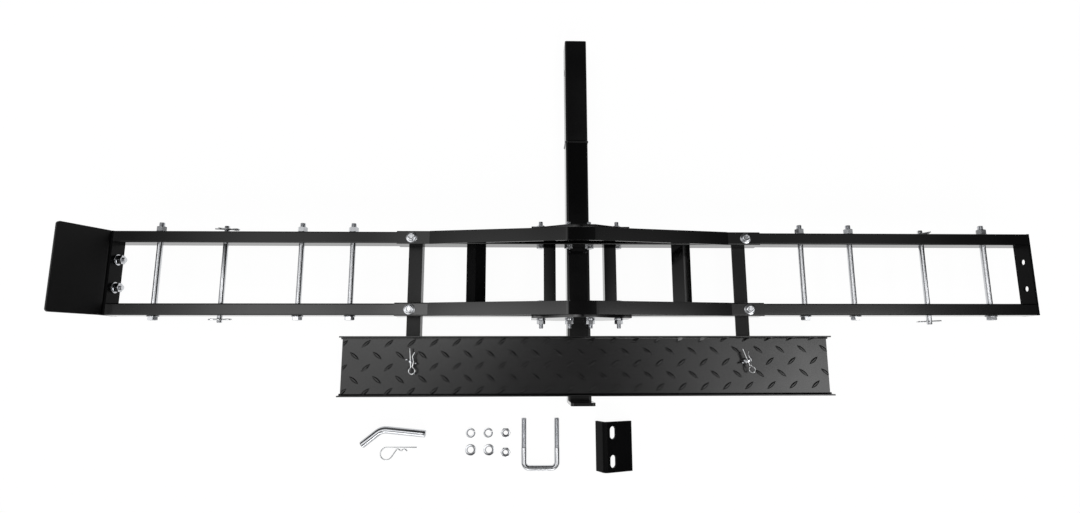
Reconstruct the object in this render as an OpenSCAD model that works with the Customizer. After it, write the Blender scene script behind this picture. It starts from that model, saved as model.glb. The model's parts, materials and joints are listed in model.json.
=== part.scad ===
// Hitch-mounted carrier for one motorcycle, laid out with its loading ramp and its loose hitch hardware.
// Drawn with X across the vehicle, Y toward the vehicle and Z up. Every size is in millimetres.
// The track is drawn about its own middle with Z 0 on top of the hitch bar; seat() then moves
// everything so that the origin is the middle of the hitch pin hole.

/* [Hitch bar] */
// Side of the square hitch bar
bar_side = 50.8; // [44:0.1:60]
// Wall of the hitch bar
bar_wall = 4; // [3:0.5:6]
// Outer corner radius of the hitch bar
bar_corner = 4.5; // [2:0.5:8]
// Track centre to the weld between bar and shank
bar_rear = 313; // [200:1:500]
// Track centre to the front end of the bar
bar_front = 269.6; // [250:0.1:400]
// Length of the shank that enters the receiver
shank_length = 250; // [180:1:350]
// Pin hole to the shank's open end
pin_setback = 70; // [40:1:120]
// Diameter of the bent hitch pin
hitch_pin_d = 15.9; // [12:0.1:19]
// Radial clearance of the hitch pin in its hole
hitch_pin_gap = 0.35; // [0.1:0.05:0.45]
// Diameter of the weld bead round the bar
bead_d = 6; // [4:0.5:8]
// How deep the bead's centre lies under the bar's faces
bead_sink = 1.2; // [0.5:0.1:1.8]
// Thickness of the upright plate on the front end
stop_t = 7; // [4:0.5:12]
// Height of that plate above the bar
stop_rise = 75; // [30:1:120]
// Corner radius of that plate
stop_corner = 6; // [2:0.5:12]

/* [Track] */
// Overall length of the track between the end plates' outer faces
track_length = 2000; // [1700:10:2300]
// Width over the outer faces of the end rails
track_width = 180; // [150:1:220]
// Width of a rail tube
rail_w = 25; // [20:1:32]
// Height of an end rail tube
rail_h = 40.5; // [36:0.5:50]
// Wall of a rail tube
rail_wall = 2; // [1.5:0.5:3]
// Outer corner radius of a rail tube
rail_corner = 2.5; // [1.5:0.5:4]
// Length of the centre rails
centre_length = 790; // [760:5:900]
// Wall of the centre rails, which the end rails plug into
sleeve_wall = 1.5; // [1:0.5:3]
// Gap between a plugged rail and the centre rail round it
plug_gap = 0.2; // [0.1:0.05:0.4]
// How far an end rail runs on past its joint bolt
plug_past_bolt = 32; // [20:1:60]
// Thickness of the end plates
end_plate_t = 5; // [3:0.5:8]
// Height of the end plates
end_plate_h = 42; // [38:0.5:60]
// Distance between the two holes of an end plate
end_hole_spacing = 60; // [50:1:90]
// Diameter of those holes
end_hole_d = 13; // [12.6:0.1:16]
// Height of those holes
end_hole_z = 20; // [16:0.5:24]

/* [Arch and bracket] */
// Half length of the arched strip
arch_half = 289; // [200:1:320]
// Height of the arch above the centre rail
arch_rise = 46.5; // [25:0.5:80]
// Thickness of the arched strip
arch_t = 5; // [3:0.5:8]
// Thickness of the bracket plates
bracket_t = 6; // [4:0.5:10]
// Half length of the bracket plates
bracket_half = 105; // [96:1:160]
// Height of the bracket plates' ends above the bar
bracket_end_top = 65; // [50:1:80]
// Height of the bracket plates' middle above the bar
bracket_top = 90; // [66:1:110]
// Depth of the bracket plates beside the bar
bracket_drop = 28; // [12:1:44]
// Depth of the bracket plates' ends
bracket_end_drop = 5; // [2:0.5:10]
// Width of a bracket plate's foot beside the bar
bracket_foot = 24.6; // [15:0.1:40]
// Bar's side to the shoulder where a bracket plate starts to rise
bracket_shoulder = 54.6; // [45:0.1:64]
// Bar's side to the end of a bracket plate's flat top
bracket_flat = 3.6; // [0:0.1:20]
// Corner cut off the front bracket plate's right foot
bracket_cut = 18; // [8:1:24]
// Distance between the inner pair of bracket bolts
bolt_inner = 46; // [44:1:60]
// Distance between the outer pair of bracket bolts
bolt_outer = 168; // [160:1:180]

/* [Cross members] */
// Width of the angle stock
angle_side = 30; // [22:1:38]
// Wall of the angle stock
angle_t = 3; // [2:0.5:4]
// Distance from the track centre to the ridged cross members
mid_cross_x = 225; // [160:1:260]
// Height of their ridge above the bar
mid_cross_top = 42; // [30:1:43]
// Distance from the track centre to the inner cross members
inner_cross_x = 65.5; // [60:0.5:70]
// Width of the inner cross members
inner_cross_w = 26; // [18:0.5:27]
// Height of their upper face above the bar
inner_cross_top = 40; // [37:0.5:43]
// Distance from the track centre to the ramp arms
arm_x = 361; // [340:1:370]
// Front end of the ramp arms, from the track centre
arm_front = 252; // [220:1:300]

/* [Bolts] */
// Diameter of the M10 bolts
m10 = 10; // [9:0.5:11]
// Width across flats of the M10 heads and nuts
m10_flats = 16; // [15:0.5:18]
// Height of the M10 bolt heads
m10_head = 6.4; // [5:0.1:8]
// Height of the M10 nuts
m10_nut = 8.4; // [6:0.1:10]
// Outer diameter of the M10 washers
m10_washer_d = 20; // [18.5:0.5:24]
// Outer diameter of the joint bolts' washers
joint_washer_d = 24; // [18.5:0.5:26]
// Diameter of the M12 rods and bolts
m12 = 12; // [11:0.5:12.5]
// Width across flats of the M12 heads and nuts
m12_flats = 18.5; // [17:0.5:22]
// Height of the M12 bolt heads
m12_head = 7.5; // [6:0.1:10]
// Height of the M12 nuts
m12_nut = 10.8; // [8:0.1:13]
// Outer diameter of the M12 washers
m12_washer_d = 24; // [22:0.5:30]
// Thickness of every flat washer
washer_t = 2.2; // [1.5:0.1:3]
// Extra width of the hole in the loose flat washers
flat_play = 1; // [0.2:0.1:2]
// Radial clearance of a bolt in its hole
bolt_gap = 0.4; // [0.3:0.05:0.6]
// Radial gap between a bolt and its nut or washer
thread_gap = 0.12; // [0.1:0.02:0.25]
// How far a bolt's end stands out of its nut
bolt_end = 9; // [4:0.5:14]
// Distance from the track centre to the joint bolts
joint_x = 363; // [355:1:369]
// Outermost tie rods to the track's ends
tie_outer_in = 93; // [50:0.5:150]
// Wheel pins to the tie rods inside them
tie_middle_in = 163; // [100:0.5:190]
// Innermost tie rods to the middle between the joint bolts and the next rods
tie_inner_out = 10; // [-20:0.5:20]

/* [Wheel pins] */
// Wheel pins to the track's ends
wheel_pin_in = 233; // [190:1:280]
// Diameter of the wheel pins
wheel_pin_d = 11; // [9:0.5:13]
// How far each end of a wheel pin stands out of the rails
wheel_pin_past = 15; // [13:1:40]
// Clip hole to the end of a wheel pin
clip_setback = 7; // [5:0.5:10]
// Radial clearance of a wheel pin in the rails
wheel_pin_gap = 0.4; // [0.3:0.05:0.6]
// How far the right pin is pushed toward the front
pin_shift = 4; // [0:0.5:5]
// Roll of the left pin's rear clip about the pin, in degrees
roll_left_rear = 12; // [-180:1:180]
// Roll of the left pin's front clip
roll_left_front = 0; // [-180:1:180]
// Roll of the right pin's rear clip
roll_right_rear = 118; // [-180:1:180]
// Roll of the right pin's front clip
roll_right_front = 126; // [-180:1:180]

/* [Spring clips] */
// Wire of the spring clips
clip_wire = 3; // [2:0.1:3.4]
// Radius of the clips' ring, on the wire's centre
clip_ring = 6.5; // [5.5:0.5:9]
// Radius of the clips' other bends, on the wire's centre
clip_bend = 4; // [3:0.5:6]
// Gap between the two legs at the ring's neck
neck_gap = 0.6; // [0.3:0.1:1.5]
// Gap left between a post and a clip's free leg
post_gap = 0.3; // [0.2:0.1:1]
// Radial clearance of a clip in its hole
clip_gap = 0.3; // [0.2:0.05:0.5]
// Rise of a free leg's hump over its dip, as a share of the wire
clip_crest = 0.5; // [0.3:0.1:1.5]
// Turn of a free leg's flared tip, in degrees
flare_turn = 30; // [15:1:50]
// Straight leg of a wheel pin's clip beyond the pin
pin_leg = 24; // [16:0.5:30]
// Wheel pin to the neck of its clip's ring
pin_neck = 10; // [9:0.5:16]
// Run of that clip's hump down to its dip
pin_run = 9; // [8:0.5:14]
// Straight length of that clip's flared tip
pin_flare = 5; // [2:0.5:10]
// Straight leg of a ramp clip beyond its stud
ramp_leg = 28; // [18:0.5:34]
// Stud to the neck of its clip's ring
ramp_neck = 11; // [8:0.5:16]
// Run of that clip's hump down to its dip
ramp_run = 10; // [8:0.5:14]
// Straight length of that clip's flared tip
ramp_flare = 8; // [2:0.5:12]

/* [Wheel stop] */
// Thickness of the bent wheel stop
wheel_stop_t = 5; // [3:0.5:8]
// Height of its lower edge above the bar
wheel_stop_low = 4; // [0:0.5:8]
// Height at which it starts to lean out
wheel_stop_fold = 43; // [42:0.5:60]
// Length of its leaning panel
wheel_stop_panel = 100; // [50:1:200]
// Lean of that panel from upright, in degrees
wheel_stop_lean = 25; // [10:1:45]
// Inner radius of its bend
wheel_stop_bend = 4; // [3:0.5:10]
// Corner radius of its panel
wheel_stop_corner = 6; // [3:0.5:15]

/* [Ramp] */
// Length of the loading ramp
ramp_length = 1061; // [900:1:1200]
// How far the ramp's middle lies to the right of the track's middle
ramp_shift = 16.5; // [0:0.5:25]
// Width of the ramp over its lips
ramp_w = 127; // [110:1:150]
// Middle of the ramp, in front of the track centre
ramp_y = 196.5; // [190:0.5:205]
// Sheet thickness of the ramp
ramp_t = 3; // [2:0.5:4]
// Height of the ramp's side lips over the bar
lip_h = 20; // [12:0.5:30]
// How far the lips run past the ramp's floor at each end
lip_past = 3; // [1:0.5:8]
// Inner radius of the lips' bends
lip_bend = 3; // [1:0.5:6]
// How far the right end of the floor is turned down
hook_drop = 9; // [6:0.5:16]
// Length of a tread lug
lug_length = 25; // [16:1:30]
// Width of a tread lug
lug_w = 6; // [4:0.5:8]
// Height of a tread lug
lug_h = 1; // [0.6:0.1:1.6]
// Distance between the rows of lugs
lug_row = 25.5; // [22:0.5:32]
// Distance between two lugs of a row
lug_pitch = 50; // [40:1:70]
// Number of rows of lugs
lug_rows = 5; // [1:2:5]
// Slope of a lug, in degrees
lug_slope = 40; // [25:1:50]

/* [Ramp fasteners] */
// Distance from the track centre to the ramp's studs, sideways
stud_x = 360.5; // [350:0.5:366]
// Distance from the track centre to the studs, forward
stud_y = 186.5; // [176:0.5:196]
// Diameter of the studs
stud_d = 6; // [5:0.5:7]
// Width across flats of the studs' heads
stud_flats = 10; // [9:0.5:13]
// Height of the studs' heads
stud_head = 4; // [3:0.1:5]
// How far a stud stands out above its clip
stud_end = 5; // [3:0.5:8]
// Heading of the left stud's clip from the X axis, in degrees
ramp_clip_turn_left = -86; // [-100:1:-60]
// Heading of the right stud's clip
ramp_clip_turn_right = -70; // [-100:1:-60]
// Roll of the right stud's clip about its straight leg
ramp_clip_roll_right = 40; // [0:1:60]
// Wing nut's span over its wings
wing_span = 27; // [22:0.5:34]
// Wing nut's height over its wings
wing_h = 16; // [13:0.5:20]
// Diameter of the wing nut's hub at its foot
wing_hub_d = 12; // [11:0.5:16]
// Thickness of a wing
wing_t = 2.6; // [2:0.2:4]
// Radius of a wing's round tip
wing_tip = 3.2; // [2:0.2:5]
// Height at which a wing leaves the hub
wing_foot = 1.5; // [0.5:0.5:3]
// Turn of the wing nuts from the X axis, in degrees
wing_turn = 23; // [0:1:45]
// Clearance between the wings and the clip above them
wing_clip_gap = 1.2; // [0.5:0.1:3]

/* [Loose hardware] */
// Straight length of the hitch pin, up to its bend
hitch_pin_length = 96; // [80:1:160]
// Length of the hitch pin's bent handle
hitch_handle = 54; // [30:1:80]
// Bend of the hitch pin, in degrees
hitch_handle_angle = 44; // [30:1:60]
// Radius of that bend, on the pin's centre
hitch_bend = 28; // [18:1:36]
// Clip hole to the end of the hitch pin
hitch_clip_setback = 9.5; // [6:0.5:14]
// Radius of the loose clip's ring, on the wire's centre
loose_ring = 13; // [11:0.5:16]
// Straight leg of the loose clip
loose_leg = 66; // [55:1:80]
// Lean of that clip's ring end toward its neck, in degrees
loose_lean = 55; // [40:1:65]
// Height of its hump
loose_crest = 3.2; // [2:0.1:5]
// Run of its hump up or down
loose_run = 7; // [6:0.5:12]
// Turn of its flared tip
loose_flare_turn = 40; // [20:1:50]
// Straight length of its flared tip
loose_flare = 5; // [2:0.5:10]
// Clear width inside the U-bolt
u_inside = 60; // [54:1:72]
// Inner radius of the U-bolt's bends
u_bend = 6; // [3:0.5:12]
// Length of the U-bolt
u_length = 112; // [100:1:160]
// Width of the anti-tilt bracket's long leg
anti_w = 71; // [60:1:90]
// Length of the anti-tilt bracket
anti_l = 106; // [100:1:140]
// Thickness of the anti-tilt bracket
anti_t = 6; // [4:0.5:8]
// Inner radius of its bend
anti_bend = 3; // [1:0.5:6]
// Slope of its long leg as it lies on both edges, in degrees
anti_tilt = 25; // [15:1:35]
// Width of its slots
anti_slot_w = 15; // [13:0.5:18]
// Length of its slots
anti_slot = 27; // [20:1:30]
// Distance between its slots
anti_slot_spacing = 60; // [50:1:64]
// Distance from the bend's outer corner to the slots' middle
anti_slot_in = 22; // [20:0.5:30]
// Outer diameter of the lock washers
lock_washer_d = 21; // [19:0.5:24]
// Thickness of the lock washers
lock_washer_t = 3; // [2:0.1:4]
// Width of their slit
lock_slit = 1.2; // [0.6:0.1:2]
// Turn of their slit from square
lock_slit_turn = 20; // [0:1:30]

/* [Hidden] */

black = [0.10, 0.10, 0.11];
zinc = [0.78, 0.79, 0.80];
$fn = 48;
eps = 0.01;

pin_y = bar_rear + shank_length - pin_setback;
rail_y = (track_width - rail_w) / 2;
sleeve_w = rail_w + 2 * (plug_gap + sleeve_wall);
sleeve_h = rail_h + plug_gap + 2 * sleeve_wall;
sleeve_outer = rail_y + sleeve_w / 2;
sleeve_inner = rail_y - sleeve_w / 2;
rail_z = sleeve_wall;
axle_z = rail_z + rail_h / 2;
bolt_z = sleeve_h / 2;
floor_z = -bar_side;
wheel_pin_x = track_length / 2 - wheel_pin_in;
tie_outer = track_length / 2 - tie_outer_in;
tie_middle = wheel_pin_x - tie_middle_in;
tie_inner = (joint_x + tie_middle) / 2 + tie_inner_out;
tie_xs = [tie_inner, tie_middle, tie_outer];
bolt_xs = [-bolt_outer / 2, -bolt_inner / 2, bolt_inner / 2, bolt_outer / 2];
wheel_pin_length = track_width + 2 * wheel_pin_past;
clip_y = wheel_pin_length / 2 - clip_setback;
ramp_clip_z = ramp_t + wing_h + wing_clip_gap + clip_wire / 2;
stud_top = ramp_clip_z + clip_wire / 2 + stud_end;
wire_turn = 18;
wheel_stop_steps = 6;

// Where the loose hardware lies on the floor
pin_end_x = -334;
pin_end_y = -342;
pin_slant = 6;
loose_clip_x = -353;
loose_clip_y = -371;
u_x = -84;
u_end_y = -309;
anti_x = 53;
anti_y = -369.5;
lock_xs = [-237, -198.5];
lock_y = -341;
flat_xs = [-236.5, -196.5];
flat_y = -377;
nut_x = -160;
nut_ys = [-340.5, -381.5];

// Moves the drawing so that the pin hole becomes the origin
module seat() {
    translate([0, -pin_y, bar_side / 2]) children();
}

// A right rear shape moved to another quarter of the track
module quarter(side_x, side_y) {
    mirror([side_x < 0 ? 1 : 0, 0, 0]) mirror([0, side_y < 0 ? 1 : 0, 0]) children();
}

// Rectangle with round corners, about its middle
module rounded(w, h, r) {
    square([w - 2 * r, h], center = true);
    square([w, h - 2 * r], center = true);
    for (x = [-1, 1], y = [-1, 1])
        translate([x * (w / 2 - r), y * (h / 2 - r)]) circle(r = r);
}

// Cross-section of a rectangular tube
module tube_outline(w, h, wall, corner) {
    inner_corner = max(corner - wall, 0.4);
    difference() {
        rounded(w, h, corner);
        rounded(w - 2 * wall, h - 2 * wall, inner_corner);
    }
}

// Cylinder along X, Y or Z from a point
module rod_x(x, y, z, d, length) translate([x, y, z]) rotate([0, 90, 0]) cylinder(d = d, h = length);
module rod_y(x, y, z, d, length) translate([x, y, z]) rotate([-90, 0, 0]) cylinder(d = d, h = length);
module rod_z(x, y, z, d, length) translate([x, y, z]) cylinder(d = d, h = length);

// Hexagonal bolt along +Z, its head's underside on the origin
module hex_bolt(d, flats, head, length) {
    translate([0, 0, -head]) cylinder(d = flats / cos(30), h = head, $fn = 6);
    translate([0, 0, -eps]) cylinder(d = d, h = length + eps);
}

// Hexagonal nut along +Z with its foot on the origin
module hex_nut(d, flats, height) {
    difference() {
        cylinder(d = flats / cos(30), h = height, $fn = 6);
        translate([0, 0, -1]) cylinder(d = d + 2 * thread_gap, h = height + 2);
    }
}

// Flat washer along +Z with its foot on the origin
module washer(d, outer, thickness) {
    difference() {
        cylinder(d = outer, h = thickness);
        translate([0, 0, -1]) cylinder(d = d + 2 * thread_gap, h = thickness + 2);
    }
}

// Rod that starts at the origin toward +X and follows its steps in the XY plane.
// A step is [0, length] for a straight run or [90, radius] for a quarter turn to the left.
module square_rod(steps, d, i = 0) {
    if (i < len(steps)) {
        size = steps[i][1];
        if (steps[i][0] == 0) {
            rotate([0, 90, 0]) cylinder(d = d, h = size);
            translate([size, 0, 0]) square_rod(steps, d, i + 1);
        } else {
            translate([0, size, 0]) rotate([0, 0, -90]) rotate_extrude(angle = 90)
                translate([size, 0]) circle(d = d);
            translate([size, size, 0]) rotate([0, 0, 90]) square_rod(steps, d, i + 1);
        }
    }
}

// Place and heading [x, y, heading] after a share t of one step, for a wire bent at any angle.
// A step is [0, length] for a straight run or [turn, radius] for a bend, left turns positive.
function along(from, step, t) =
    step[0] == 0
        ? [from[0] + t * step[1] * cos(from[2]), from[1] + t * step[1] * sin(from[2]), from[2]]
        : let(r = sign(step[0]) * step[1], heading = from[2] + t * step[0])
            [from[0] + r * (sin(heading) - sin(from[2])), from[1] - r * (cos(heading) - cos(from[2])), heading];

// Every place where the wire gets a ring of points
function stations(steps, from = [0, 0, 0], i = 0) =
    i == len(steps) ? [from]
        : let(parts = steps[i][0] == 0 ? 1 : ceil(abs(steps[i][0]) / wire_turn))
            concat([for (k = [0:parts - 1]) along(from, steps[i], k / parts)],
                stations(steps, along(from, steps[i], 1), i + 1));

// Round wire swept along its steps as one closed skin
module wire(steps, d, sides = 8) {
    stops = stations(steps);
    points = [for (stop = stops, j = [0:sides - 1])
        let(out = d / 2 * cos(360 * j / sides), up = d / 2 * sin(360 * j / sides))
            [stop[0] - out * sin(stop[2]), stop[1] + out * cos(stop[2]), up]];
    skin = [for (i = [0:len(stops) - 2], j = [0:sides - 1])
        let(a = i * sides + j, b = i * sides + (j + 1) % sides)
            each [[a, b, b + sides], [a, b + sides, a + sides]]];
    first = [for (j = [1:sides - 2]) [0, j + 1, j]];
    last_at = (len(stops) - 1) * sides;
    last = [for (j = [1:sides - 2]) [last_at, last_at + j, last_at + j + 1]];
    polyhedron(points, concat(skin, first, last));
}

// Turn and straight length of a double bend that steps sideways by rise over a run
function double_bend_turn(run, rise, r) = atan2(rise - 2 * r, run) + asin(2 * r / norm([run, rise - 2 * r]));
function double_bend_length(run, rise, r) = sqrt(pow(run, 2) + pow(rise - 2 * r, 2) - 4 * r * r);

// Spring clip in the XY plane. Its straight leg runs along X through the post at the origin,
// its ring lies toward +X and its free leg passes over the post on the +Y side.
module spring_clip(post_d, leg, neck, run_in, flare, d = clip_wire, ring = clip_ring, bend = clip_bend) {
    neck_v = d + neck_gap;
    dip_v = (post_d + d) / 2 + post_gap;
    crest_v = dip_v + clip_crest * d;
    ring_turn = acos((neck_v / 2 + bend) / (ring + bend));
    out_turn = double_bend_turn(neck, crest_v - neck_v, bend);
    out_length = double_bend_length(neck, crest_v - neck_v, bend);
    in_turn = double_bend_turn(run_in, crest_v - dip_v, bend);
    in_length = double_bend_length(run_in, crest_v - dip_v, bend);
    translate([-leg, 0, 0])
        wire([[0, leg + neck],
            [-ring_turn, bend], [180 + 2 * ring_turn, ring], [-ring_turn, bend],
            [-out_turn, bend], [0, out_length], [out_turn, bend],
            [in_turn, bend], [0, in_length], [-in_turn, bend],
            [-flare_turn, bend], [0, flare]], d);
}

// Hollow shank that slides into the receiver, with the cross hole for the hitch pin
module hitch_shank() {
    color(black) seat() difference() {
        translate([0, bar_rear, -bar_side / 2]) rotate([-90, 0, 0])
            linear_extrude(shank_length) tube_outline(bar_side, bar_side, bar_wall, bar_corner);
        rod_x(-bar_side, pin_y, -bar_side / 2, hitch_pin_d + 2 * hitch_pin_gap, 2 * bar_side);
    }
}

// Weld bead over the bar's top and both sides, ground flush underneath
module weld_bead() {
    turn_r = max(bar_corner - bead_sink, bead_d / 2 + 0.2);
    top = bar_side - 2 * (bead_sink + turn_r);
    side = bar_side - bar_corner - bead_sink - turn_r;
    difference() {
        translate([bar_side / 2 - bead_sink, bar_rear, bar_corner - bar_side]) rotate([90, 0, 0])
            rotate([0, 0, 90])
                square_rod([[0, side], [90, turn_r], [0, top], [90, turn_r], [0, side]], bead_d);
        translate([0, bar_rear - bead_d, -bar_side / 2]) rotate([-90, 0, 0])
            linear_extrude(2 * bead_d) rounded(bar_side, bar_side, bar_corner);
    }
}

module main_bar() {
    color(black) seat() {
        translate([0, -bar_front, -bar_side / 2]) rotate([-90, 0, 0])
            linear_extrude(bar_front + bar_rear) tube_outline(bar_side, bar_side, bar_wall, bar_corner);
        weld_bead();
    }
}

// Upright plate that closes the bar's front end and keeps the ramp in
module ramp_stop() {
    color(black) seat()
        translate([0, -bar_front, (stop_rise - bar_side) / 2]) rotate([90, 0, 0])
            linear_extrude(stop_t) rounded(bar_side, stop_rise + bar_side, stop_corner);
}

// Outline of a bracket plate, in X and Z
module bracket_outline(cut_corner) {
    shoulder = bar_side / 2 + bracket_shoulder;
    flat_half = bar_side / 2 + bracket_flat;
    foot_half = bar_side / 2 + bracket_foot;
    cut = cut_corner ? bracket_cut : 0;
    foot_slope = (bracket_drop - bracket_end_drop) / (bracket_half - foot_half);
    polygon([[-bracket_half, -bracket_end_drop], [-foot_half, -bracket_drop], [-bar_side / 2, -bracket_drop],
        [-bar_side / 2, 0], [bar_side / 2, 0], [bar_side / 2, -bracket_drop], [foot_half, -bracket_drop],
        [bracket_half - cut, -bracket_end_drop - cut * foot_slope],
        [bracket_half, cut - bracket_end_drop],
        [bracket_half, bracket_end_top], [shoulder, bracket_end_top], [flat_half, bracket_top],
        [-flat_half, bracket_top], [-shoulder, bracket_end_top], [-bracket_half, bracket_end_top]]);
}

module bracket_plate(front) {
    color(black) seat() difference() {
        translate([0, (front ? -sleeve_outer : sleeve_outer + bracket_t), 0])
            rotate([90, 0, 0]) linear_extrude(bracket_t) bracket_outline(front);
        for (x = bolt_xs)
            rod_y(x, -2 * sleeve_outer, bolt_z, m10 + 2 * bolt_gap, 4 * sleeve_outer);
    }
}

// Centre rail: a thin-walled tube that the end rails plug into
module centre_rail(side_y) {
    color(black) seat() quarter(1, side_y) difference() {
        translate([-centre_length / 2, rail_y, sleeve_h / 2]) rotate([90, 0, 90])
            linear_extrude(centre_length) tube_outline(sleeve_w, sleeve_h, sleeve_wall, rail_corner);
        for (x = bolt_xs)
            rod_y(x, rail_y - sleeve_w, bolt_z, m10 + 2 * bolt_gap, 2 * sleeve_w);
        for (x = [-joint_x, joint_x])
            rod_z(x, rail_y, -1, m10 + 2 * bolt_gap, sleeve_h + 2);
    }
}

// Strip bent to a low peak and welded on top of a centre rail
module arch(side_y) {
    slope = atan2(arch_rise, arch_half);
    foot_x = arch_half - arch_t / sin(slope);
    under = arch_rise - arch_t / cos(slope);
    color(black) seat() quarter(1, side_y)
        translate([0, sleeve_outer, sleeve_h]) rotate([90, 0, 0]) linear_extrude(sleeve_w)
            polygon([[-arch_half, 0], [-foot_x, 0], [0, under], [foot_x, 0], [arch_half, 0], [0, arch_rise]]);
}

// End rail with its holes for the tie rods, the wheel pin and the joint bolt
module end_rail(side_x, side_y) {
    start = joint_x - plug_past_bolt;
    color(black) seat() quarter(side_x, side_y) difference() {
        translate([start, rail_y, axle_z]) rotate([90, 0, 90])
            linear_extrude(track_length / 2 - end_plate_t - start)
                tube_outline(rail_w, rail_h, rail_wall, rail_corner);
        for (x = tie_xs)
            rod_y(x, rail_y - rail_w, axle_z, m12 + 2 * bolt_gap, 2 * rail_w);
        rod_y(wheel_pin_x, rail_y - rail_w, axle_z, wheel_pin_d + 2 * wheel_pin_gap, 2 * rail_w);
        rod_z(joint_x, rail_y, -1, m10 + 2 * bolt_gap, sleeve_h + 2);
    }
}

// Two holes across an end plate or the wheel stop's flange
module end_holes(x, length) {
    for (side = [-1, 1])
        rod_x(x, side * end_hole_spacing / 2, end_hole_z, end_hole_d, length);
}

module end_plate(side_x) {
    color(black) seat() quarter(side_x, 1) difference() {
        translate([track_length / 2 - end_plate_t, -track_width / 2, 0])
            cube([end_plate_t, track_width, end_plate_h]);
        end_holes(track_length / 2 - 2 * end_plate_t, 3 * end_plate_t);
    }
}

// Cross-section of the angle stock, its corner on the origin
module angle_outline(width, height, t) {
    square([width, t]);
    square([t, height]);
}

// Angle set with its flange up and its web toward the bar
module inner_cross(side_x) {
    color(black) seat() quarter(side_x, 1)
        translate([inner_cross_x - inner_cross_w / 2, sleeve_inner, inner_cross_top]) rotate([90, 0, 0])
            linear_extrude(2 * sleeve_inner) mirror([0, 1]) angle_outline(inner_cross_w, angle_side, angle_t);
}

// Angle laid with its ridge up
module mid_cross(side_x) {
    color(black) seat() quarter(side_x, 1)
        translate([mid_cross_x, sleeve_inner, mid_cross_top]) rotate([90, 0, 0])
            linear_extrude(2 * sleeve_inner) rotate(-135) angle_outline(angle_side, angle_side, angle_t);
}

// Angle under both rails that carries the ramp in front of the track
module ramp_arm(side_x) {
    left = side_x * arm_x - angle_side / 2;
    color(black) seat() difference() {
        translate([left + angle_side, sleeve_outer, 0]) rotate([90, 0, 0])
            linear_extrude(sleeve_outer + arm_front)
                rotate(180) angle_outline(angle_side, angle_side, angle_t);
        for (side = [-1, 1])
            rod_z(side_x * joint_x, side * rail_y, -2 * angle_t, m10 + 2 * bolt_gap, 3 * angle_t);
        rod_z(side_x * stud_x, -stud_y, -2 * angle_t, stud_d + 2 * bolt_gap, 3 * angle_t);
    }
}

// Side view of the wheel stop about its bend's centre: an upright flange, a bend and a leaning panel
module wheel_stop_profile() {
    outer = wheel_stop_bend + wheel_stop_t;
    foot = wheel_stop_low - wheel_stop_fold;
    run = 1.1 * wheel_stop_panel;
    turns = [for (i = [0:wheel_stop_steps]) i * wheel_stop_lean / wheel_stop_steps];
    tip = run * [-sin(wheel_stop_lean), cos(wheel_stop_lean)];
    lean = [cos(wheel_stop_lean), sin(wheel_stop_lean)];
    polygon(concat([[wheel_stop_bend, foot], [outer, foot]],
        [for (turn = turns) outer * [cos(turn), sin(turn)]],
        [outer * lean + tip, wheel_stop_bend * lean + tip],
        [for (i = [wheel_stop_steps:-1:0]) wheel_stop_bend * [cos(turns[i]), sin(turns[i])]]));
}

// Bent sheet on the left end that the front wheel runs against, its two upper corners rounded
module wheel_stop() {
    face = -track_length / 2;
    reach = 3 * wheel_stop_panel;
    color(black) seat() difference() {
        translate([face - wheel_stop_bend - wheel_stop_t, 0, wheel_stop_fold]) intersection() {
            translate([0, track_width / 2 + 1, 0]) rotate([90, 0, 0])
                linear_extrude(track_width + 2) wheel_stop_profile();
            rotate([0, -wheel_stop_lean, 0]) translate([-reach / 2, 0, wheel_stop_panel - reach / 2])
                rotate([90, 0, 90]) linear_extrude(reach) rounded(track_width, reach, wheel_stop_corner);
        }
        end_holes(face - 2 * wheel_stop_t, 3 * wheel_stop_t);
    }
}

module stop_bolts() {
    head_x = -track_length / 2 - wheel_stop_t;
    length = wheel_stop_t + end_plate_t + washer_t + m12_nut + bolt_end / 2;
    color(zinc) seat() for (side = [-1, 1])
        translate([head_x, side * end_hole_spacing / 2, end_hole_z]) rotate([0, 90, 0])
            hex_bolt(m12, m12_flats, m12_head, length);
}

module stop_washers() {
    color(zinc) seat() for (side = [-1, 1])
        translate([-track_length / 2 + end_plate_t, side * end_hole_spacing / 2, end_hole_z])
            rotate([0, 90, 0]) washer(m12, m12_washer_d, washer_t);
}

module stop_nuts() {
    color(zinc) seat() for (side = [-1, 1])
        translate([-track_length / 2 + end_plate_t + washer_t, side * end_hole_spacing / 2, end_hole_z])
            rotate([0, 90, 0]) hex_nut(m12, m12_flats, m12_nut);
}

// Long bolts across the track, with their heads in front
module tie_bolts() {
    color(zinc) seat() for (side = [-1, 1], x = tie_xs)
        translate([side * x, -track_width / 2 - washer_t, axle_z]) rotate([-90, 0, 0])
            hex_bolt(m12, m12_flats, m12_head, track_width + 2 * washer_t + m12_nut + bolt_end);
}

module tie_washers() {
    color(zinc) seat() for (side = [-1, 1], x = tie_xs, y = [-track_width / 2 - washer_t, track_width / 2])
        translate([side * x, y, axle_z]) rotate([-90, 0, 0]) washer(m12, m12_washer_d, washer_t);
}

module tie_nuts() {
    color(zinc) seat() for (side = [-1, 1], x = tie_xs)
        translate([side * x, track_width / 2 + washer_t, axle_z]) rotate([-90, 0, 0])
            hex_nut(m12, m12_flats, m12_nut);
}

// Bolts through rail and bracket plate, their heads inside the track
module bracket_bolts() {
    length = sleeve_w + bracket_t + washer_t + m10_nut + bolt_end;
    color(zinc) seat() for (side = [-1, 1], x = bolt_xs)
        quarter(1, side) translate([x, sleeve_inner, bolt_z]) rotate([-90, 0, 0])
            hex_bolt(m10, m10_flats, m10_head, length);
}

module bracket_washers() {
    color(zinc) seat() for (side = [-1, 1], x = bolt_xs)
        quarter(1, side) translate([x, sleeve_outer + bracket_t, bolt_z]) rotate([-90, 0, 0])
            washer(m10, m10_washer_d, washer_t);
}

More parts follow.
